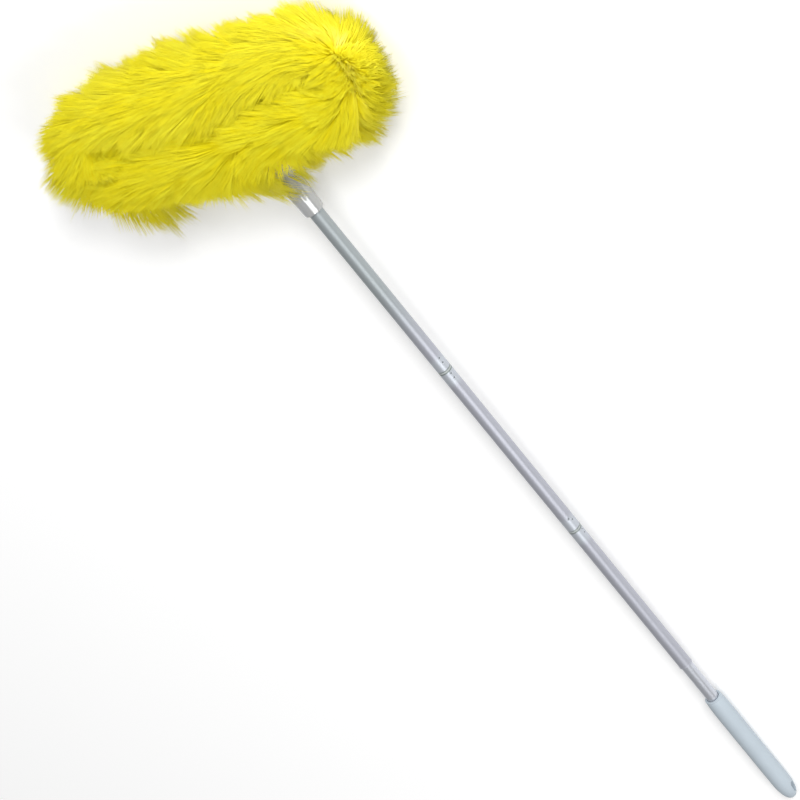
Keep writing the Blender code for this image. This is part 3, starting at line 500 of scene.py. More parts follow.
def make_plug(node, body, flange_x):
    """A screwed plug: a cored body, a flange and a chamfered spigot."""
    fit = TUBE_RADIUS - TUBE_WALL - FIT_GAP
    seat = flange_x + FLANGE
    end = seat + PLUG_DEPTH
    rim = TUBE_RADIUS - FLANGE_EDGE
    outline = [(end - CORE_DEPTH, CORE_RADIUS), (end, CORE_RADIUS), (end, fit), (seat, fit)]
    outline += rounded(seat - FLANGE_EDGE, rim, FLANGE_EDGE, 0, 90, 3)
    outline += rounded(flange_x + FLANGE_EDGE, rim, FLANGE_EDGE, 90, 180, 3)
    outline += [(flange_x, SPIGOT_RADIUS), (flange_x - SPIGOT_LENGTH + SPIGOT_CHAMFER, SPIGOT_RADIUS),
                (flange_x - SPIGOT_LENGTH, SPIGOT_RADIUS - SPIGOT_CHAMFER)]
    plug = settle(turned(node + "_looks", outline, PLUG_SIDES))
    dress(plug, body, node, insert_plastic)


make_plug("upper_tube_plug", "upper_pole", UPPER_PLUG_X)
make_plug("middle_tube_plug", "middle_pole", JOINT_1_X)
make_plug("lower_tube_plug", "lower_pole", JOINT_2_X)

# %% [markdown]
# ## The inner tube
# The thinner tube slides in the last one. Only its bare, brighter wall shows, between the rolled mouth of the
# lower tube and the grip.

# %% Model the inner tube
GRIP_BORE_DEPTH = 118 * MM
INNER_TUBE_SIDES = 72
LEAD_IN, LEAD_IN_LENGTH = 0.15 * MM, 0.2 * MM
inner_end = GRIP_X + GRIP_BORE_DEPTH - FIT_GAP
inner_inside = INNER_TUBE_RADIUS - TUBE_WALL
inner_tube = settle(turned("inner_tube_looks", [
    (INNER_TUBE_X, inner_inside), (inner_end, inner_inside), (inner_end, INNER_TUBE_RADIUS),
    (INNER_TUBE_X + LEAD_IN_LENGTH, INNER_TUBE_RADIUS), (INNER_TUBE_X, INNER_TUBE_RADIUS - LEAD_IN)],
    INNER_TUBE_SIDES, closed=True))
dress(inner_tube, "handle", "inner_tube", bright_steel)

# %% [markdown]
# ## The grip
# The grip is a moulded sleeve with a small bead at its mouth, a slow swell, and an end like a bullet with a slot
# to hang it by. It is turned first. The slot is then cut by a long rounded block with a boolean, as a side
# core makes it in the mould, and a bevel softens the edges.

# %% Turn the grip
GRIP_RADIUS, GRIP_MOUTH_RADIUS, GRIP_SIDES = 11.3 * MM, 10.4 * MM, 72
GRIP_SWELL, SWELL_STEPS = 24 * MM, 8
GRIP_TIP, TIP_STEPS, TIP_BLUNTNESS = 34 * MM, 24, 2.4
TIP_FLAT = 0.3 * MM
BEAD, BORE_EDGE = 0.9 * MM, 0.3 * MM


def grip_outline():
    """The grip's outline, from the bottom of its bore, out of its mouth and along the outside to the tip."""
    bore = INNER_TUBE_RADIUS + FIT_GAP
    points = [(GRIP_X + GRIP_BORE_DEPTH, bore), (GRIP_X + BORE_EDGE, bore), (GRIP_X, bore + BORE_EDGE)]
    points += rounded(GRIP_X + BEAD, GRIP_MOUTH_RADIUS - BEAD, BEAD, 180, 60)
    points += [(GRIP_X + 2.2 * MM, GRIP_MOUTH_RADIUS - 0.35 * MM),
               (GRIP_X + 3.0 * MM, GRIP_MOUTH_RADIUS - 0.1 * MM)]
    for step in range(1, SWELL_STEPS + 1):
        share = step / SWELL_STEPS
        swell = (GRIP_RADIUS - GRIP_MOUTH_RADIUS) * math.sin(math.pi / 2 * share)
        points.append((GRIP_X + 3 * MM + GRIP_SWELL * share, GRIP_MOUTH_RADIUS + swell))
    for step in range(TIP_STEPS):
        angle = math.pi / 2 * step / TIP_STEPS
        points.append((GRIP_END_X - GRIP_TIP + GRIP_TIP * math.sin(angle) ** (2 / TIP_BLUNTNESS),
                       GRIP_RADIUS * math.cos(angle) ** (2 / TIP_BLUNTNESS)))
    return points + [(GRIP_END_X, TIP_FLAT)]


grip = turned("grip_looks", grip_outline(), GRIP_SIDES)
print("grip", len(grip.data.vertices), "points before its slot is cut")

# %% Cut its hanging slot and soften the edges
HOLE_WIDTH, HOLE_LENGTH, HOLE_FROM_TIP = 6.5 * MM, 15 * MM, 9 * MM
HOLE_SIDES, HOLE_DEPTH = 48, 30 * MM
SOFT_EDGE, SOFT_STEPS, SOFT_ANGLE = 0.5 * MM, 3, 50
GRIP_SMOOTH_ANGLE = 30

hole_middle = GRIP_END_X - HOLE_FROM_TIP - HOLE_LENGTH / 2
bpy.ops.object.select_all(action="DESELECT")
bpy.ops.mesh.primitive_cylinder_add(vertices=HOLE_SIDES, radius=HOLE_WIDTH / 2, depth=HOLE_DEPTH,
                                    location=(hole_middle, 0, 0), rotation=(math.pi / 2, 0, 0))
hole = bpy.context.object
bpy.ops.object.transform_apply(location=True, rotation=True, scale=True)
for side in (-1, 1):
    select_where(hole, lambda vert: (vert.co.x - hole_middle) * side > MERGE)
    bpy.ops.object.mode_set(mode="EDIT")
    bpy.ops.transform.translate(value=(side * (HOLE_LENGTH - HOLE_WIDTH) / 2, 0, 0))
    bpy.ops.object.mode_set(mode="OBJECT")
cut_out(grip, hole)
select_only(grip)
soften = grip.modifiers.new("soft_edges", "BEVEL")
soften.width, soften.segments = SOFT_EDGE, SOFT_STEPS
soften.limit_method, soften.angle_limit = "ANGLE", math.radians(SOFT_ANGLE)
bpy.ops.object.modifier_apply(modifier=soften.name)
dress(settle(grip, GRIP_SMOOTH_ANGLE), "handle", "grip", grip_plastic)

# %% [markdown]
# ## The clear ferrule
# The ferrule is moulded in clear plastic. Its skirt goes over the end of the pole, and its shoulder narrows
# towards the brush. The wall is real here, with a bore on each side of a web, so that the shader can
# bend light through it and the grey plug and the wires show inside. A clear coat gives it the sharp white streak.

# %% Model the ferrule
FERRULE_RADIUS, FERRULE_MOUTH_RADIUS, FERRULE_TOP_RADIUS = 12.8 * MM, 11.6 * MM, 10.8 * MM
FERRULE_SIDES, SKIRT_LENGTH = 96, 30 * MM
BORE_GAP = 0.4 * MM
SKIRT, SKIRT_EDGE = TUBE_RADIUS + BORE_GAP, 0.5 * MM
THREAD_BORE = SPIGOT_RADIUS + BORE_GAP
THREAD_RELIEF, WEB = 3 * MM, 3 * MM
THREAD_END_X = UPPER_PLUG_X - SPIGOT_LENGTH - THREAD_RELIEF
WEB_TOP_X = THREAD_END_X - WEB
WIRE_PLUG_RADIUS = 8.2 * MM
LIP = 1.5 * MM
SHOULDER, SHOULDER_END, SHOULDER_STEP, SHOULDER_STEPS = 6 * MM, 1 * MM, 0.6 * MM, 8


def ferrule_outline():
    """The ferrule's outline, from the bottom of its thread, round the skirt and the shoulder, to the wire's bore."""
    points = [(THREAD_END_X, THREAD_BORE), (UPPER_PLUG_X - FIT_GAP, THREAD_BORE),
              (UPPER_PLUG_X - FIT_GAP, SKIRT), (-SKIRT_EDGE, SKIRT), (0, SKIRT + SKIRT_EDGE)]
    points += rounded(-LIP, FERRULE_MOUTH_RADIUS - LIP, LIP, 0, 90, 8)
    points += [(-SKIRT_LENGTH, FERRULE_RADIUS), (FERRULE_TOP_X + SHOULDER, FERRULE_RADIUS)]
    top = FERRULE_TOP_RADIUS + SHOULDER_STEP
    for step in range(1, SHOULDER_STEPS + 1):
        angle = math.radians(90 * step / SHOULDER_STEPS)
        points.append((FERRULE_TOP_X + SHOULDER - (SHOULDER - SHOULDER_END) * math.sin(angle),
                       top + (FERRULE_RADIUS - top) * math.cos(angle)))
    return points + [(FERRULE_TOP_X, FERRULE_TOP_RADIUS), (FERRULE_TOP_X, WIRE_PLUG_RADIUS + FIT_GAP),
                     (WEB_TOP_X, WIRE_PLUG_RADIUS + FIT_GAP)]


ferrule = settle(turned("ferrule_looks", ferrule_outline(), FERRULE_SIDES))
print("ferrule", len(ferrule.data.vertices), "points")

# %% Finish the ferrule
FLOW_LINES = (25, 160, 160)         # a metre, along and across the pole
clear = Finish("clear_plastic_moulded", (0.66, 0.67, 0.68), Transmission_Weight=0.55, IOR=1.46,
               Coat_Weight=1.0, Coat_Roughness=0.03)
flow = clear.noise(clear.pole_place(FLOW_LINES), 1.0, 2.0)
clear.feed("Roughness", flow * 0.08 + 0.08)
clear.bump(flow, 0.12, 0.2 * MM)
dress(ferrule, "head", "ferrule", clear.material)

# %% [markdown]
# ## The twisted wire
# Two galvanised wires are twisted together with the roots of the fibre between them. Each strand is a helix
# round the same route, half a turn from the other. It could be swept as a mesh, ring by ring. A curve with a round
# bevel is simpler, because only the strand's middle line has to be worked out.

# %% Draw the wire's route
LEG_OFFSET, LEG_BEND = 3.6 * MM, 9 * MM
WIRE_END_X = FERRULE_TOP_X + 17 * MM
WIRE_STEP = 1.1 * MM
BEND_STEPS, END_STEPS = 12, 36


def loop_route():
    """Close points along the wire's middle line, in the pole's frame."""
    bend_x = NEAR_WIRE_X + LEG_BEND
    halves = []
    for side in (1, -1):
        points = [Vector((WIRE_END_X, side * LEG_OFFSET, 0)), Vector((bend_x, side * LEG_OFFSET, 0))]
        for i in range(1, BEND_STEPS + 1):
            angle = math.pi / 2 * i / BEND_STEPS
            points.append(Vector((bend_x - LEG_BEND * math.sin(angle),
                                  side * (LEG_OFFSET + LEG_BEND - LEG_BEND * math.cos(angle)), 0)))
        for i in range(END_STEPS + 1):
            angle = math.pi * i / END_STEPS
            points.append(Vector((LOOP_X + LOOP_HALF_WIDTH * math.cos(angle), LOOP_SHIFT + side * (
                LOOP_HALF_STRAIGHT + LOOP_HALF_WIDTH * math.sin(angle)), 0)))
        halves.append(points)
    corners = halves[0] + halves[1][::-1]
    close = []
    for first, second in zip(corners, corners[1:]):
        count = max(1, round((second - first).length / WIRE_STEP))
        close += [first.lerp(second, i / count) for i in range(count)]
    return close + [corners[-1]]


route = loop_route()
print(len(route), "points along the wire")

# %% Twist two strands along the route
WIRE_PITCH = 13 * MM
STRAND_SHARE = 0.98         # of the true radius, so that the strands don't cut each other
WIRE_SMOOTH_ANGLE = 60


def make_strand(half_turn):
    """One strand: a round curve that winds about the route, made a mesh."""
    curve = bpy.data.curves.new("strand", "CURVE")
    curve.dimensions = "3D"
    curve.bevel_depth, curve.bevel_resolution = WIRE_RADIUS * STRAND_SHARE, 2
    curve.use_fill_caps = True
    spline = curve.splines.new("POLY")
    spline.points.add(len(route) - 1)
    run = 0.0
    for i, point in enumerate(route):
        ahead = (route[min(i + 1, len(route) - 1)] - route[max(i - 1, 0)]).normalized()
        run += (point - route[i - 1]).length if i else 0
        aside = Vector((-ahead.y, ahead.x, 0))
        angle = 2 * math.pi * run / WIRE_PITCH + half_turn
        offset = (aside * math.cos(angle) + Vector((0, 0, 1)) * math.sin(angle)) * WIRE_RADIUS
        spline.points[i].co = (*(point + offset), 1)
    strand = bpy.data.objects.new("strand", curve)
    bpy.context.scene.collection.objects.link(strand)
    select_only(strand)
    bpy.ops.object.convert(target="MESH")
    return bpy.context.object


strands = [make_strand(0), make_strand(math.pi)]
select_only(strands[0])
strands[1].select_set(True)
bpy.ops.object.join()
wire = bpy.context.object
wire.name = wire.data.name = "wire_loop_looks"
print("wire", len(wire.data.vertices), "points")

# %% Finish the wire
SPANGLES = 700              # zinc spangles a metre
galvanised = Finish("galvanised_wire_twisted", (0.62, 0.62, 0.60), Metallic=1.0)
spangle = galvanised.noise(galvanised.pole_place(), SPANGLES, 2.0)
galvanised.feed("Base Color", galvanised.mix(spangle, (0.48, 0.48, 0.47), (0.74, 0.74, 0.72)))
galvanised.feed("Roughness", spangle * 0.2 + 0.26)
dress(settle(wire, WIRE_SMOOTH_ANGLE), "head", "wire_loop", galvanised.material)

# %% [markdown]
# ## The plug that holds the wire
# The wire's two ends sit in a plug in the ferrule's top, which shows through the clear plastic as a grey core.
# It is turned, and booleans drill its two holes, because a turned outline can't hold a hole beside the axis.

# %% Model the plug that holds the wire's ends
CAP, CAP_EDGE, CAP_CHAMFER, PLUG_EDGE = 2 * MM, 0.8 * MM, 1 * MM, 0.5 * MM
DRILL_SIDES, DRILL_PAST = 32, 2 * MM
cap_seat = FERRULE_TOP_X - FIT_GAP
cap_top = cap_seat - CAP
plug_end = WEB_TOP_X - FIT_GAP
wire_plug = turned("wire_plug_looks", [
    (plug_end, WIRE_PLUG_RADIUS - PLUG_EDGE), (plug_end - PLUG_EDGE, WIRE_PLUG_RADIUS),
    (cap_seat, WIRE_PLUG_RADIUS), (cap_seat, FERRULE_TOP_RADIUS), (cap_top + CAP_EDGE, FERRULE_TOP_RADIUS),
    (cap_top, FERRULE_TOP_RADIUS - CAP_CHAMFER)], PLUG_SIDES)
for side in (-1, 1):
    bpy.ops.object.select_all(action="DESELECT")
    depth = WIRE_END_X - cap_top + DRILL_PAST
    bpy.ops.mesh.primitive_cylinder_add(
        vertices=DRILL_SIDES, radius=2 * WIRE_RADIUS + FIT_GAP, depth=depth,
        location=(WIRE_END_X + FIT_GAP - depth / 2, side * LEG_OFFSET, 0), rotation=(0, math.pi / 2, 0))
    cut_out(wire_plug, bpy.context.object)
dress(settle(wire_plug), "head", "wire_plug", insert_plastic)

# %% [markdown]
# ## The fibre
# The brush holds tens of thousands of fine synthetic fibres. They stand out from the wire all round, lean over
# along it, and cling together in tufts whose round tips make the shaggy surface. No modelling operator draws
# that, so the fibres are computed: for each one a root on the wire, a tip, and a bend between them.

# %% Where each band of fibre lies on the wire
NECK_GAP = 13.5 * MM
PIECE_GAP = 0.6 * MM
FAR_BANDS, NEAR_BANDS, END_BANDS = 4, 2, 3


def straight_band(x, outwards, start, end):
    """Returns a function that gives the wire's place, its direction and the way out, for shares 0 to 1."""
    def at(share):
        y = start + (end - start) * share
        zero = np.zeros_like(y)
        return np.stack([zero + x, y, zero], 1), np.stack([zero, zero + 1, zero], 1), np.stack(
            [zero + outwards, zero, zero], 1)
    return at, end - start


def round_band(side, start, stop):
    """The same for a band round one end of the loop, between two angles."""
    def at(share):
        angle = start + (stop - start) * share
        zero = np.zeros_like(angle)
        out = np.stack([np.cos(angle), side * np.sin(angle), zero], 1)
        along = np.stack([-np.sin(angle), side * np.cos(angle), zero], 1)
        middle = np.array([LOOP_X, LOOP_SHIFT + side * LOOP_HALF_STRAIGHT, 0])
        return middle + out * LOOP_HALF_WIDTH, along, out
    return at, (stop - start) * LOOP_HALF_WIDTH


def band_plan():
    """Every band of fibre by the name of the CAD node that it stands for."""
    bands = {}
    gap = PIECE_GAP / 2
    far_length = 2 * LOOP_HALF_STRAIGHT / FAR_BANDS
    for i in range(FAR_BANDS):
        start = LOOP_SHIFT - LOOP_HALF_STRAIGHT + far_length * i
        bands[f"fibre_far_{i + 1}"] = straight_band(FAR_WIRE_X, -1, start + gap, start + far_length - gap)
    for side, word in ((-1, "left"), (1, "right")):
        near_length = (LOOP_HALF_STRAIGHT + side * LOOP_SHIFT - NECK_GAP) / NEAR_BANDS
        for i in range(NEAR_BANDS):
            ends = sorted(side * (NECK_GAP + near_length * (i + share)) for share in (0, 1))
            bands[f"fibre_near_{word}_{i + 1}"] = straight_band(NEAR_WIRE_X, 1, ends[0] + gap, ends[1] - gap)
        slack = gap / LOOP_HALF_WIDTH
        turn = math.pi / END_BANDS
        for i in range(END_BANDS):
            bands[f"fibre_{word}_end_{i + 1}"] = round_band(side, turn * i + slack, turn * (i + 1) - slack)
    return bands


bands = band_plan()
print(len(bands), "bands of fibre,", round(sum(length for _, length in bands.values()) / MM), "mm of wire")

# %% [markdown]
# ## Roots, strands and tufts
# A fibre's angle round the wire is 0 out of the loop, and a quarter turn up. Fewer grow inwards and down, where
# the slot is. A fibre clings to the middle of its strand, a small cell of the surface, and of its tuft, the
# nearest of a few random points, and shares its length, lean and tone with both, so that both sizes of clump show.

# %% Draw the roots and their clumps
FIBRES_PER_MM = 180
INWARDS_FROM, LOWER_SHARE = math.pi * 0.62, 0.6
BRUSH_RADIUS = 36 * MM      # the distance from the wire at which the clumps are measured
GIRTH = 2 * math.pi * BRUSH_RADIUS
TUFT_AREA, LEAST_TUFTS = 288 * MM ** 2, 6
STRAND_SIZE, MOST_COLUMNS = 3.6 * MM, 200


def unit(vectors):
    """Vectors of length 1."""
    return vectors / np.linalg.norm(vectors, axis=1)[:, None]


def draw_roots(length, chance):
    """The share along the band and the angle round the wire of every fibre."""
    count = round(length / MM * FIBRES_PER_MM)
    share = chance.uniform(0, 1, count)
    around = chance.uniform(-math.pi, math.pi, count)
    inwards = np.abs(around) > INWARDS_FROM
    keep = ~inwards | (chance.uniform(0, 1, count) < np.where(around > 0, 1, LOWER_SHARE))
    return share[keep], around[keep]


def find_tufts(spots, length, chance):
    """The tuft of every fibre and how many tufts there are, and the way to its middle."""
    count = max(LEAST_TUFTS, round(length * GIRTH / TUFT_AREA))
    middles = np.stack([chance.uniform(0, length, count),
                        chance.uniform(-math.pi, math.pi, count) * BRUSH_RADIUS], 1)
    gaps = spots[:, None, :] - middles[None, :, :]
    gaps[:, :, 1] = (gaps[:, :, 1] + GIRTH / 2) % GIRTH - GIRTH / 2
    tuft = np.argmin((gaps ** 2).sum(axis=2), axis=1)
    return (tuft, count), -gaps[np.arange(len(spots)), tuft]


def find_strands(spots, chance):
    """The strand of every fibre and how many strands there are, and the way to its middle."""
    cell = np.floor(spots / STRAND_SIZE).astype(int)
    row, column = (cell - cell.min(axis=0)).T
    strand = row * MOST_COLUMNS + column
    count = strand.max() + 1
    middle = cell + chance.uniform(0.1, 0.9, (count, 2))[strand]
    return (strand, count), middle * STRAND_SIZE - spots


def shared(draw, first, second, clump):
    """One random number for each clump, given to all its fibres."""
    member, count = clump
    return draw(first, second, count)[member]


# %% [markdown]
# ## How far the fibres reach
# The left end is the fullest and is flatter on top. The far side thins out to the left, and long fibres beside
# the ferrule hang over the neck. These numbers were found by comparing renders with the photograph.

# %% Work out the reach
FIBRE_REACH, LEFT_MORE, RIGHT_LESS = 53.5 * MM, 20 * MM, 13.2 * MM
TOP_CUT, TOP_CUT_LEFT = 0.14, 0.28
NEAR_MORE, NEAR_LEFT, NEAR_RIGHT, NEAR_LOW = 0.04, -0.25, 0.12, -0.20
FAR_LEFT, FAR_RIGHT = -0.55, -0.08
COVER_SHARE, COVER_Y, COVER_WIDTH = 0.42, -24, 34       # the last two in mm
ROOT_RADIUS = 3.4 * MM


def reach_at(root, out, angle):
    """How far the fibres reach from the wire, by the place on the loop and the angle round the wire."""
    along = (root[:, 1] - LOOP_SHIFT) / (LOOP_HALF_STRAIGHT + LOOP_HALF_WIDTH)
    left, right = np.clip(-along, 0, 1), np.clip(along, 0, 1)
    top, low = np.clip(np.sin(angle), 0, 1), np.clip(-np.sin(angle), 0, 1)
    near, far = np.clip(out[:, 0], 0, 1), np.clip(-out[:, 0], 0, 1) ** 3
    cover = np.exp(-((root[:, 1] / MM - COVER_Y) / COVER_WIDTH) ** 2) * near * np.clip(np.cos(angle), 0, 1)
    reach = (FIBRE_REACH + LEFT_MORE * left - RIGHT_LESS * right) * (1 - (TOP_CUT + TOP_CUT_LEFT * left) * top)
    shape = (1 + near * (NEAR_MORE + NEAR_LEFT * left + NEAR_RIGHT * right + NEAR_LOW * low)
             + COVER_SHARE * cover + far * (FAR_LEFT * left + FAR_RIGHT * right))
    return reach * shape + ROOT_RADIUS


# %% [markdown]
# ## How the fibres lean
# On the far side and on top of the near side the fibres lean to the left along the wire, and on the outside of the
# near side to the right. Those that grow into the loop stop at about its middle. A fibre is too thin to be lit
# well by its own sides, so it is shaded mostly as a smooth head would be at that place.

# %% Grow one band
TUFT_CLING, STRAND_CLING = 0.30, 0.6
OVER_SLOT = 0.3             # how far the fibres above the slot turn over it, in radians
SLOT_ROOM = 0.9             # of half the loop's width
RAGGED, STRAY = 0.07, 1.3 * MM
LEAN_LEAST, LEAN_STRAIGHT, LEAN_RIGHT, LEAN_REACH = 8, 36, 0.6, 50 * MM     # the first two in mm
OVER_TOP_START, OVER_TOP_TURN = math.radians(30), math.radians(40)
BEND_AT, BEND_LEAN, BEND_STRAY = 0.72, 0.22, 0.3
HEAD_HALF_SIZE = np.array([85 * MM, 210 * MM, 50 * MM])
FACE_HEAD, FACE_FIBRE, FACE_UP = 0.55, 0.2, 0.4
UP = np.array([0.0, 0.0, 1.0])
STEPS = 4                   # points along a fibre


def lean_along(root, out, around, reach):
    """How far the tips lean along the wire. Over the top of the near side they lean the other way."""
    straight = np.abs(out[:, 0]) ** 2
    near = np.clip(out[:, 0], 0, 1)
    over_top = np.clip((around - OVER_TOP_START) / OVER_TOP_TURN, 0, 1) * near
    right = np.clip((root[:, 1] - LOOP_SHIFT) / LOOP_HALF_STRAIGHT, 0, 1) * near
    lean = (LEAN_LEAST + LEAN_STRAIGHT * straight * (1 - LEAN_RIGHT * right)) * MM
    return lean * np.clip(reach / LEAN_REACH, 0.2, 1) * (1 - 2 * over_top)


def grow(at, length, chance):
    """Points of every fibre of one band, its tone, and the way that it faces the light."""
    share, around = draw_roots(length, chance)
    root, along, out = at(share)
    spots = np.stack([share * length, around * BRUSH_RADIUS], 1)
    tuft, to_tuft = find_tufts(spots, length, chance)
    strand, to_strand = find_strands(spots, chance)
    size = shared(chance.uniform, 0.87, 1.08, tuft) * shared(chance.normal, 1, 0.05, strand)
    comb = shared(chance.uniform, 0.4, 1.3, tuft) * shared(chance.normal, 1, 0.1, strand)
    rise = shared(chance.normal, 0, 7 * MM, tuft) + shared(chance.normal, 0, 2.5 * MM, strand)
    tone = 0.35 * shared(chance.uniform, 0, 1, tuft) + 0.65 * shared(chance.uniform, 0, 1, strand)

    drawn = to_tuft * TUFT_CLING + to_strand * STRAND_CLING
    inner_top = np.clip(np.sin(around), 0, 1) * np.clip(0.3 - np.cos(around), 0, 1)
    around_tip = around + drawn[:, 1] / BRUSH_RADIUS + OVER_SLOT * inner_top
    normal_root = out * np.cos(around)[:, None] + UP * np.sin(around)[:, None]
    normal_tip = out * np.cos(around_tip)[:, None] + UP * np.sin(around_tip)[:, None]
    reach = reach_at(root, out, around) * size * (1 - np.abs(chance.normal(0, RAGGED, len(share))))
    room = LOOP_HALF_WIDTH * SLOT_ROOM * (1 + np.clip(np.sin(around_tip), 0, 1))
    reach = np.minimum(reach, room / np.maximum(-np.cos(around_tip), 0.02))

    comb_way = np.cross(UP, out)
    lean = comb_way * (lean_along(root, out, around, reach) * comb)[:, None]
    stray = chance.normal(0, STRAY, (len(share), 3))
    shift = along * drawn[:, :1]
    lift = UP * (rise * np.abs(np.cos(around)))[:, None]
    base = root + normal_root * ROOT_RADIUS
    bend = root + normal_root * (reach * BEND_AT)[:, None] + lean * BEND_LEAN + stray * BEND_STRAY
    tip = root + normal_tip * reach[:, None] + lean + shift + lift + stray
    t = np.linspace(0, 1, STEPS)[None, :, None]
    points = base[:, None] * (1 - t) ** 2 + bend[:, None] * 2 * t * (1 - t) + tip[:, None] * t ** 2
    tone = np.clip(0.7 * tone + 0.3 * chance.uniform(0, 1, len(share)), 0, 1)
    outside = (tip - np.array([LOOP_X, LOOP_SHIFT, 0])) / HEAD_HALF_SIZE ** 2
    return points, tone, unit(unit(outside) * FACE_HEAD + normal_tip * FACE_FIBRE + UP * FACE_UP)


# %% [markdown]
# ## What is in the fibre's way
# The fibres pass round the ferrule and the neck, and the floor presses them flat. The tips at the top and at both
# ends are held back softly, so that the dressed model doesn't pass the CAD model's box by too much.

# %% Keep the fibres clear
CLEAR_PLACES = [-109, -100, -74, -68, 0, 5]         # mm along the pole
CLEAR_ROOM = [0, 6.5, 11.5, 14.2, 14.2, 12]         # mm from its axis
FLOOR_GAP, FLOOR_SOFT = 0.4 * MM, 2 * MM
LIMITS = ((2, 1, 91 * MM), (1, -1, 221 * MM), (1, 1, 212 * MM))     # axis, side and where the limit starts
LIMIT_SOFT = 10 * MM
POLE_TURN, POLE_PLACE = np.array(pole_frame.to_3x3()).T, np.array(pole_frame.translation)


def keep_clear(points):
    """Lead the fibres round the ferrule and the neck, lay them on the floor, and hold back the far tips."""
    x, y, z = points[..., 0], points[..., 1], points[..., 2]
    radius = np.hypot(y, z) + 1e-9
    room = np.interp(x / MM, CLEAR_PLACES, CLEAR_ROOM) * MM
    push = np.where(x > CLEAR_PLACES[0] * MM, np.maximum(room / radius, 1), 1)
    placed = np.stack([x, y * push, z * push], -1) @ POLE_TURN + POLE_PLACE
    height = placed[..., 2]
    flat = FLOOR_GAP + FLOOR_SOFT
    pressed = FLOOR_GAP + FLOOR_SOFT * np.exp((height - flat) / FLOOR_SOFT)
    placed[..., 2] = np.where(height < flat, pressed, height)
    for axis, side, start in LIMITS:
        past = placed[..., axis] * side - start
        held = (start + LIMIT_SOFT * (1 - np.exp(-past / LIMIT_SOFT))) * side
        placed[..., axis] = np.where(past > 0, held, placed[..., axis])
    return placed


# %% [markdown]
# ## The fibre's mesh
# There are over a hundred thousand fibres, so each has only three sides, and the lists of points and faces go
# straight into the mesh, because operators would take too long. The mesh also holds each fibre's tone and how far
# along it a point is, for the finish.

# %% Write the fibres into a mesh
FIBRE_RADIUS = 0.36 * MM
TAPER = np.array([1.0, 1.0, 0.8])       # of the rings, before the point
FIBRE_SIDES = 3
BRUSH_SHADING = 0.95                    # how far the fibres are shaded as one soft surface
NO_FIBRE_WAY = np.array([0.31, 0.52, 0.79])


def fibre_faces():
    """The triangles of one fibre: a closed root, the walls between its rings, and the point."""
    faces = [(2, 1, 0)]
    last = FIBRE_SIDES * (STEPS - 2)
    for k in range(FIBRE_SIDES):
        beside = (k + 1) % FIBRE_SIDES
        for ring in range(0, last, FIBRE_SIDES):
            a, b = ring + k, ring + beside
            faces += [(a, b, b + FIBRE_SIDES), (a, b + FIBRE_SIDES, a + FIBRE_SIDES)]
        faces.append((last + k, last + beside, last + FIBRE_SIDES))
    return np.array(faces)


def fibre_mesh(name, lines, tone, facing):
    """A mesh of thin three-sided fibres that taper to a point, and the normals that shade them."""
    count = len(lines)
    ahead = np.gradient(lines, axis=1)
    ahead /= np.linalg.norm(ahead, axis=2)[..., None] + 1e-12
    across = np.cross(ahead, NO_FIBRE_WAY)
    across /= np.linalg.norm(across, axis=2)[..., None] + 1e-12
    other = np.cross(ahead, across)
    angles = (np.arange(FIBRE_SIDES) * 2 * math.pi / FIBRE_SIDES)[None, None, :, None]
    own = across[:, :-1, None, :] * np.cos(angles) + other[:, :-1, None, :] * np.sin(angles)
    rings = lines[:, :-1, None, :] + own * TAPER[None, :, None, None] * FIBRE_RADIUS
    verts = np.concatenate([rings.reshape(count, -1, 3), lines[:, -1:, :]], axis=1)
    per_fibre = verts.shape[1]
    faces = (np.arange(count)[:, None, None] * per_fibre + fibre_faces()[None]).reshape(-1, 3)
    mesh = bpy.data.meshes.new(name)
    mesh.vertices.add(count * per_fibre)
    mesh.vertices.foreach_set("co", verts.astype(np.float32).ravel())
    mesh.loops.add(len(faces) * 3)
    mesh.loops.foreach_set("vertex_index", faces.astype(np.int32).ravel())
    mesh.polygons.add(len(faces))
    mesh.polygons.foreach_set("loop_start", np.arange(0, len(faces) * 3, 3, dtype=np.int32))
    mesh.update(calc_edges=True)
    along = np.append(np.repeat(np.linspace(0, 1, STEPS)[:-1], FIBRE_SIDES), 1.0)
    for label, values in (("fibre_tone", np.repeat(tone, per_fibre)), ("fibre_along", np.tile(along, count))):
        mesh.attributes.new(label, "FLOAT", "POINT").data.foreach_set("value", values.astype(np.float32))
    own = np.concatenate([own.reshape(count, -1, 3), facing[:, None, :]], axis=1)
    soft = own * (1 - BRUSH_SHADING) + facing[:, None, :] * BRUSH_SHADING
    return mesh, soft.reshape(-1, 3)


# %% [markdown]
# ## The yellow of the fibre
# The yellow varies from strand to strand. Towards the roots it is painted deeper and darker: painted shade inside
# the brush. The dye is taken to be fluorescent, and a weak emission of the fibre's own colour stands for that: this
# glow is painted light, which makes the fibre brighter than the lamps alone light it.

# %% Make the yellow
PAINTED_GLOW = 0.10
ROOT_SHADE_UP_TO = 0.7            # of a fibre's length
yellow = Finish("yellow_fibre_soft", (0.97, 0.87, 0.01), Specular_IOR_Level=0.4,
                Emission_Strength=PAINTED_GLOW)
tone = yellow.attribute("fibre_tone")
# Painted shade: the yellow is painted deeper and darker towards the roots.
depth = yellow.attribute("fibre_along").between(0.0, ROOT_SHADE_UP_TO)
body_colour = yellow.mix(tone, (0.95, 0.80, 0.002), (1.0, 0.94, 0.04))
fibre_colour = yellow.mix(depth, (0.97, 0.81, 0.0), body_colour)
yellow.feed("Base Color", fibre_colour)
# Painted light: the fibre glows weakly in its own colour, though it is no lamp.
yellow.feed("Emission Color", fibre_colour)
yellow.feed("Roughness", tone * 0.15 + 0.30)
print("fibre finish", yellow.material.name)

# %% [markdown]
# ## Growing the bands
# A sleeve round the wire, under the fibres of each band, stands for the bound roots, and is joined to them. The
# fibres get the normals worked out above, and zeros leave the sleeve's normals to Blender.

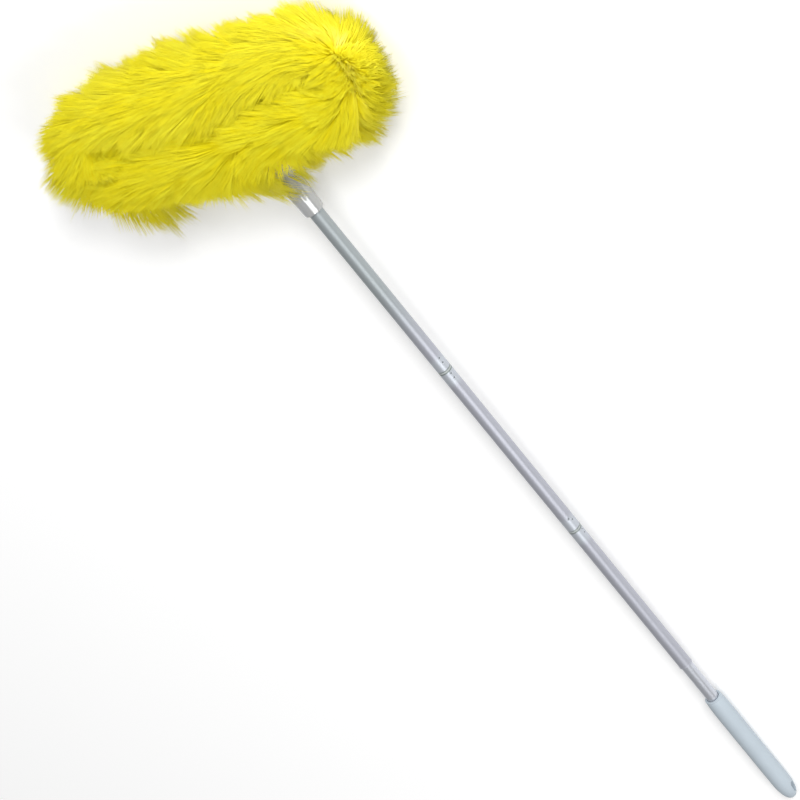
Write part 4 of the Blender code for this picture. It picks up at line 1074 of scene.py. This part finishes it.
# %% Model a sleeve of bound roots
SLEEVE_RADIUS, SLEEVE_WALL = 4.2 * MM, 1.4 * MM
SLEEVE_SIDES, SLEEVE_STEP, LEAST_ROWS = 16, 4 * MM, 4


def make_sleeve(name, at, length):
    """The bound roots: a short tube round the wire."""
    rows = max(LEAST_ROWS, round(length / SLEEVE_STEP))
    root, _, out = at(np.linspace(0, 1, rows + 1))
    angles = (np.arange(SLEEVE_SIDES) * 2 * math.pi / SLEEVE_SIDES)[None, :, None]
    around = out[:, None, :] * np.cos(angles) + UP * np.sin(angles)
    verts = np.concatenate([(root[:, None, :] + around * radius).reshape(-1, 3)
                            for radius in (SLEEVE_RADIUS, SLEEVE_RADIUS - SLEEVE_WALL)])
    faces = []
    size, top = (rows + 1) * SLEEVE_SIDES, rows * SLEEVE_SIDES
    for k in range(SLEEVE_SIDES):
        beside = (k + 1) % SLEEVE_SIDES
        for row in range(0, top, SLEEVE_SIDES):
            a, b = row + k, row + beside
            faces.append((a, b, b + SLEEVE_SIDES, a + SLEEVE_SIDES))
            faces.append((size + a, size + a + SLEEVE_SIDES, size + b + SLEEVE_SIDES, size + b))
        faces.append((k, size + k, size + beside, beside))
        faces.append((top + k, top + beside, size + top + beside, size + top + k))
    mesh = bpy.data.meshes.new(name)
    mesh.from_pydata((verts @ POLE_TURN + POLE_PLACE).tolist(), [], faces)
    mesh.update()
    for label in ("fibre_tone", "fibre_along"):
        mesh.attributes.new(label, "FLOAT", "POINT")
    return mesh


# %% Grow the bands
SEED = 11
chance = np.random.default_rng(SEED)
for name, (at, length) in bands.items():
    points, tones, facing = grow(at, length, chance)
    mesh, normals = fibre_mesh(name + "_strands", keep_clear(points), tones, facing @ POLE_TURN)
    fibres = bpy.data.objects.new(name + "_strands", mesh)
    sleeve = bpy.data.objects.new(name + "_sleeve", make_sleeve(name + "_sleeve", at, length))
    for obj in (fibres, sleeve):
        bpy.context.scene.collection.objects.link(obj)
    select_only(sleeve)
    bpy.ops.object.mode_set(mode="EDIT")
    bpy.ops.mesh.select_all(action="SELECT")
    bpy.ops.mesh.normals_make_consistent(inside=False)
    bpy.ops.object.mode_set(mode="OBJECT")
    select_only(fibres)
    sleeve.select_set(True)
    bpy.ops.object.join()
    bpy.ops.object.shade_smooth()
    automatic = np.zeros((len(fibres.data.vertices) - len(normals), 3))
    fibres.data.normals_split_custom_set_from_vertices(np.concatenate([unit(normals), automatic]))
    dress(fibres, "head", name, yellow.material)


# %% [markdown]
# ## The CAD pieces that stay
# The sockets, the collet and the cone of the twist lock are inside the tubes. Their CAD shapes are right, so they
# stay and only get their finish.

# %% Finish the inner pieces
for name in ("upper_tube_socket", "middle_tube_socket", "lock_collet", "lock_cone"):
    node = frame["nodes"][name]
    node.data.materials.clear()
    node.data.materials.append(insert_plastic)
print("CAD nodes shown", [o.name for o in frame["nodes"].values() if not o.hide_render])

# %% [markdown]
# ## The floor
# The duster was photographed on a white table. The floor is a little less than white and shows the shadows. What
# the camera, a reflection or the clear plastic sees of it is lifted by a faint glow, so that it comes out white.

# %% Make the floor
FLOOR_SIZE, FLOOR_WHITE, FLOOR_GLOW = 12, (0.90, 0.90, 0.90), 0.19
bpy.ops.object.select_all(action="DESELECT")
bpy.ops.mesh.primitive_plane_add(size=FLOOR_SIZE, location=(0, 0, 0))
floor = bpy.context.object
floor.name = floor.data.name = "floor"
white = Finish("floor_white", FLOOR_WHITE, Roughness=0.9, Specular_IOR_Level=0.1)
seen, glossy, through = (white.node("ShaderNodeLightPath", {}, (), ray)
                         for ray in ("Is Camera Ray", "Is Glossy Ray", "Is Transmission Ray"))
plain = Value(white, white.shader.outputs[0])
glow = white.node("ShaderNodeEmission", {}, {"Color": (1, 1, 1, 1), "Strength": FLOOR_GLOW})
lifted = white.node("ShaderNodeMixShader", {}, [(seen + glossy + through).math("MINIMUM", 1.0), plain,
                                                white.node("ShaderNodeAddShader", {}, [plain, glow])])
white.put(white.tree.nodes["Material Output"].inputs["Surface"], lifted)
floor.data.materials.append(white.material)
print("floor", FLOOR_SIZE, "m wide")

# %% [markdown]
# ## The light
# The key lamp stands on the camera's side of the head. The top lamp fills it from above. The pole lamp stands
# where the pole mirrors it to the camera: it gives the tubes their highlight. An even sky fills the rest.

# %% Set the lamps and the sky
MIDDLE = Vector((-0.1, 0.05, 0.03))
POLE_MIDDLE = pole_frame @ Vector((0.34, 0, 0))
SKY = 0.32


def add_lamp(name, target, way, distance, sizes, light):
    """A soft lamp, as long along the pole as its first size. Light 1 makes white that faces it render white."""
    lamp = bpy.data.objects.new(name, bpy.data.lights.new(name, "AREA"))
    bpy.context.scene.collection.objects.link(lamp)
    way = Vector(way).normalized()
    level = (-along_pole).cross(way).cross(way).normalized()
    turn = Matrix((level, way.cross(level), way)).transposed()
    lamp.data.shape = "RECTANGLE"
    lamp.data.size, lamp.data.size_y = sizes
    lamp.data.energy = light * (math.pi * distance) ** 2
    lamp.matrix_world = Matrix.Translation(target + way * distance) @ turn.to_4x4()
    print(name, round(lamp.data.energy, 1), "watts")


add_lamp("key_lamp", MIDDLE, way=(-1.3, 1.3, 1.05), distance=7.0, sizes=(1.7, 1.7), light=0.66)
add_lamp("top_lamp", MIDDLE, way=(-0.6, 0.20, 0.8), distance=7.0, sizes=(3.5, 3.5), light=0.27)
add_lamp("pole_lamp", POLE_MIDDLE, way=(0.483, 0.605, 0.633), distance=3.4, sizes=(0.5, 2.6), light=0.34)
world = bpy.data.worlds.new("studio")
bpy.context.scene.world = world
world.use_nodes = True
sky = world.node_tree.nodes["Background"]
sky.inputs["Color"].default_value = (1, 1, 1, 1)
sky.inputs["Strength"].default_value = SKY
bpy.context.scene.view_settings.view_transform = "Standard"
print("sky", SKY)
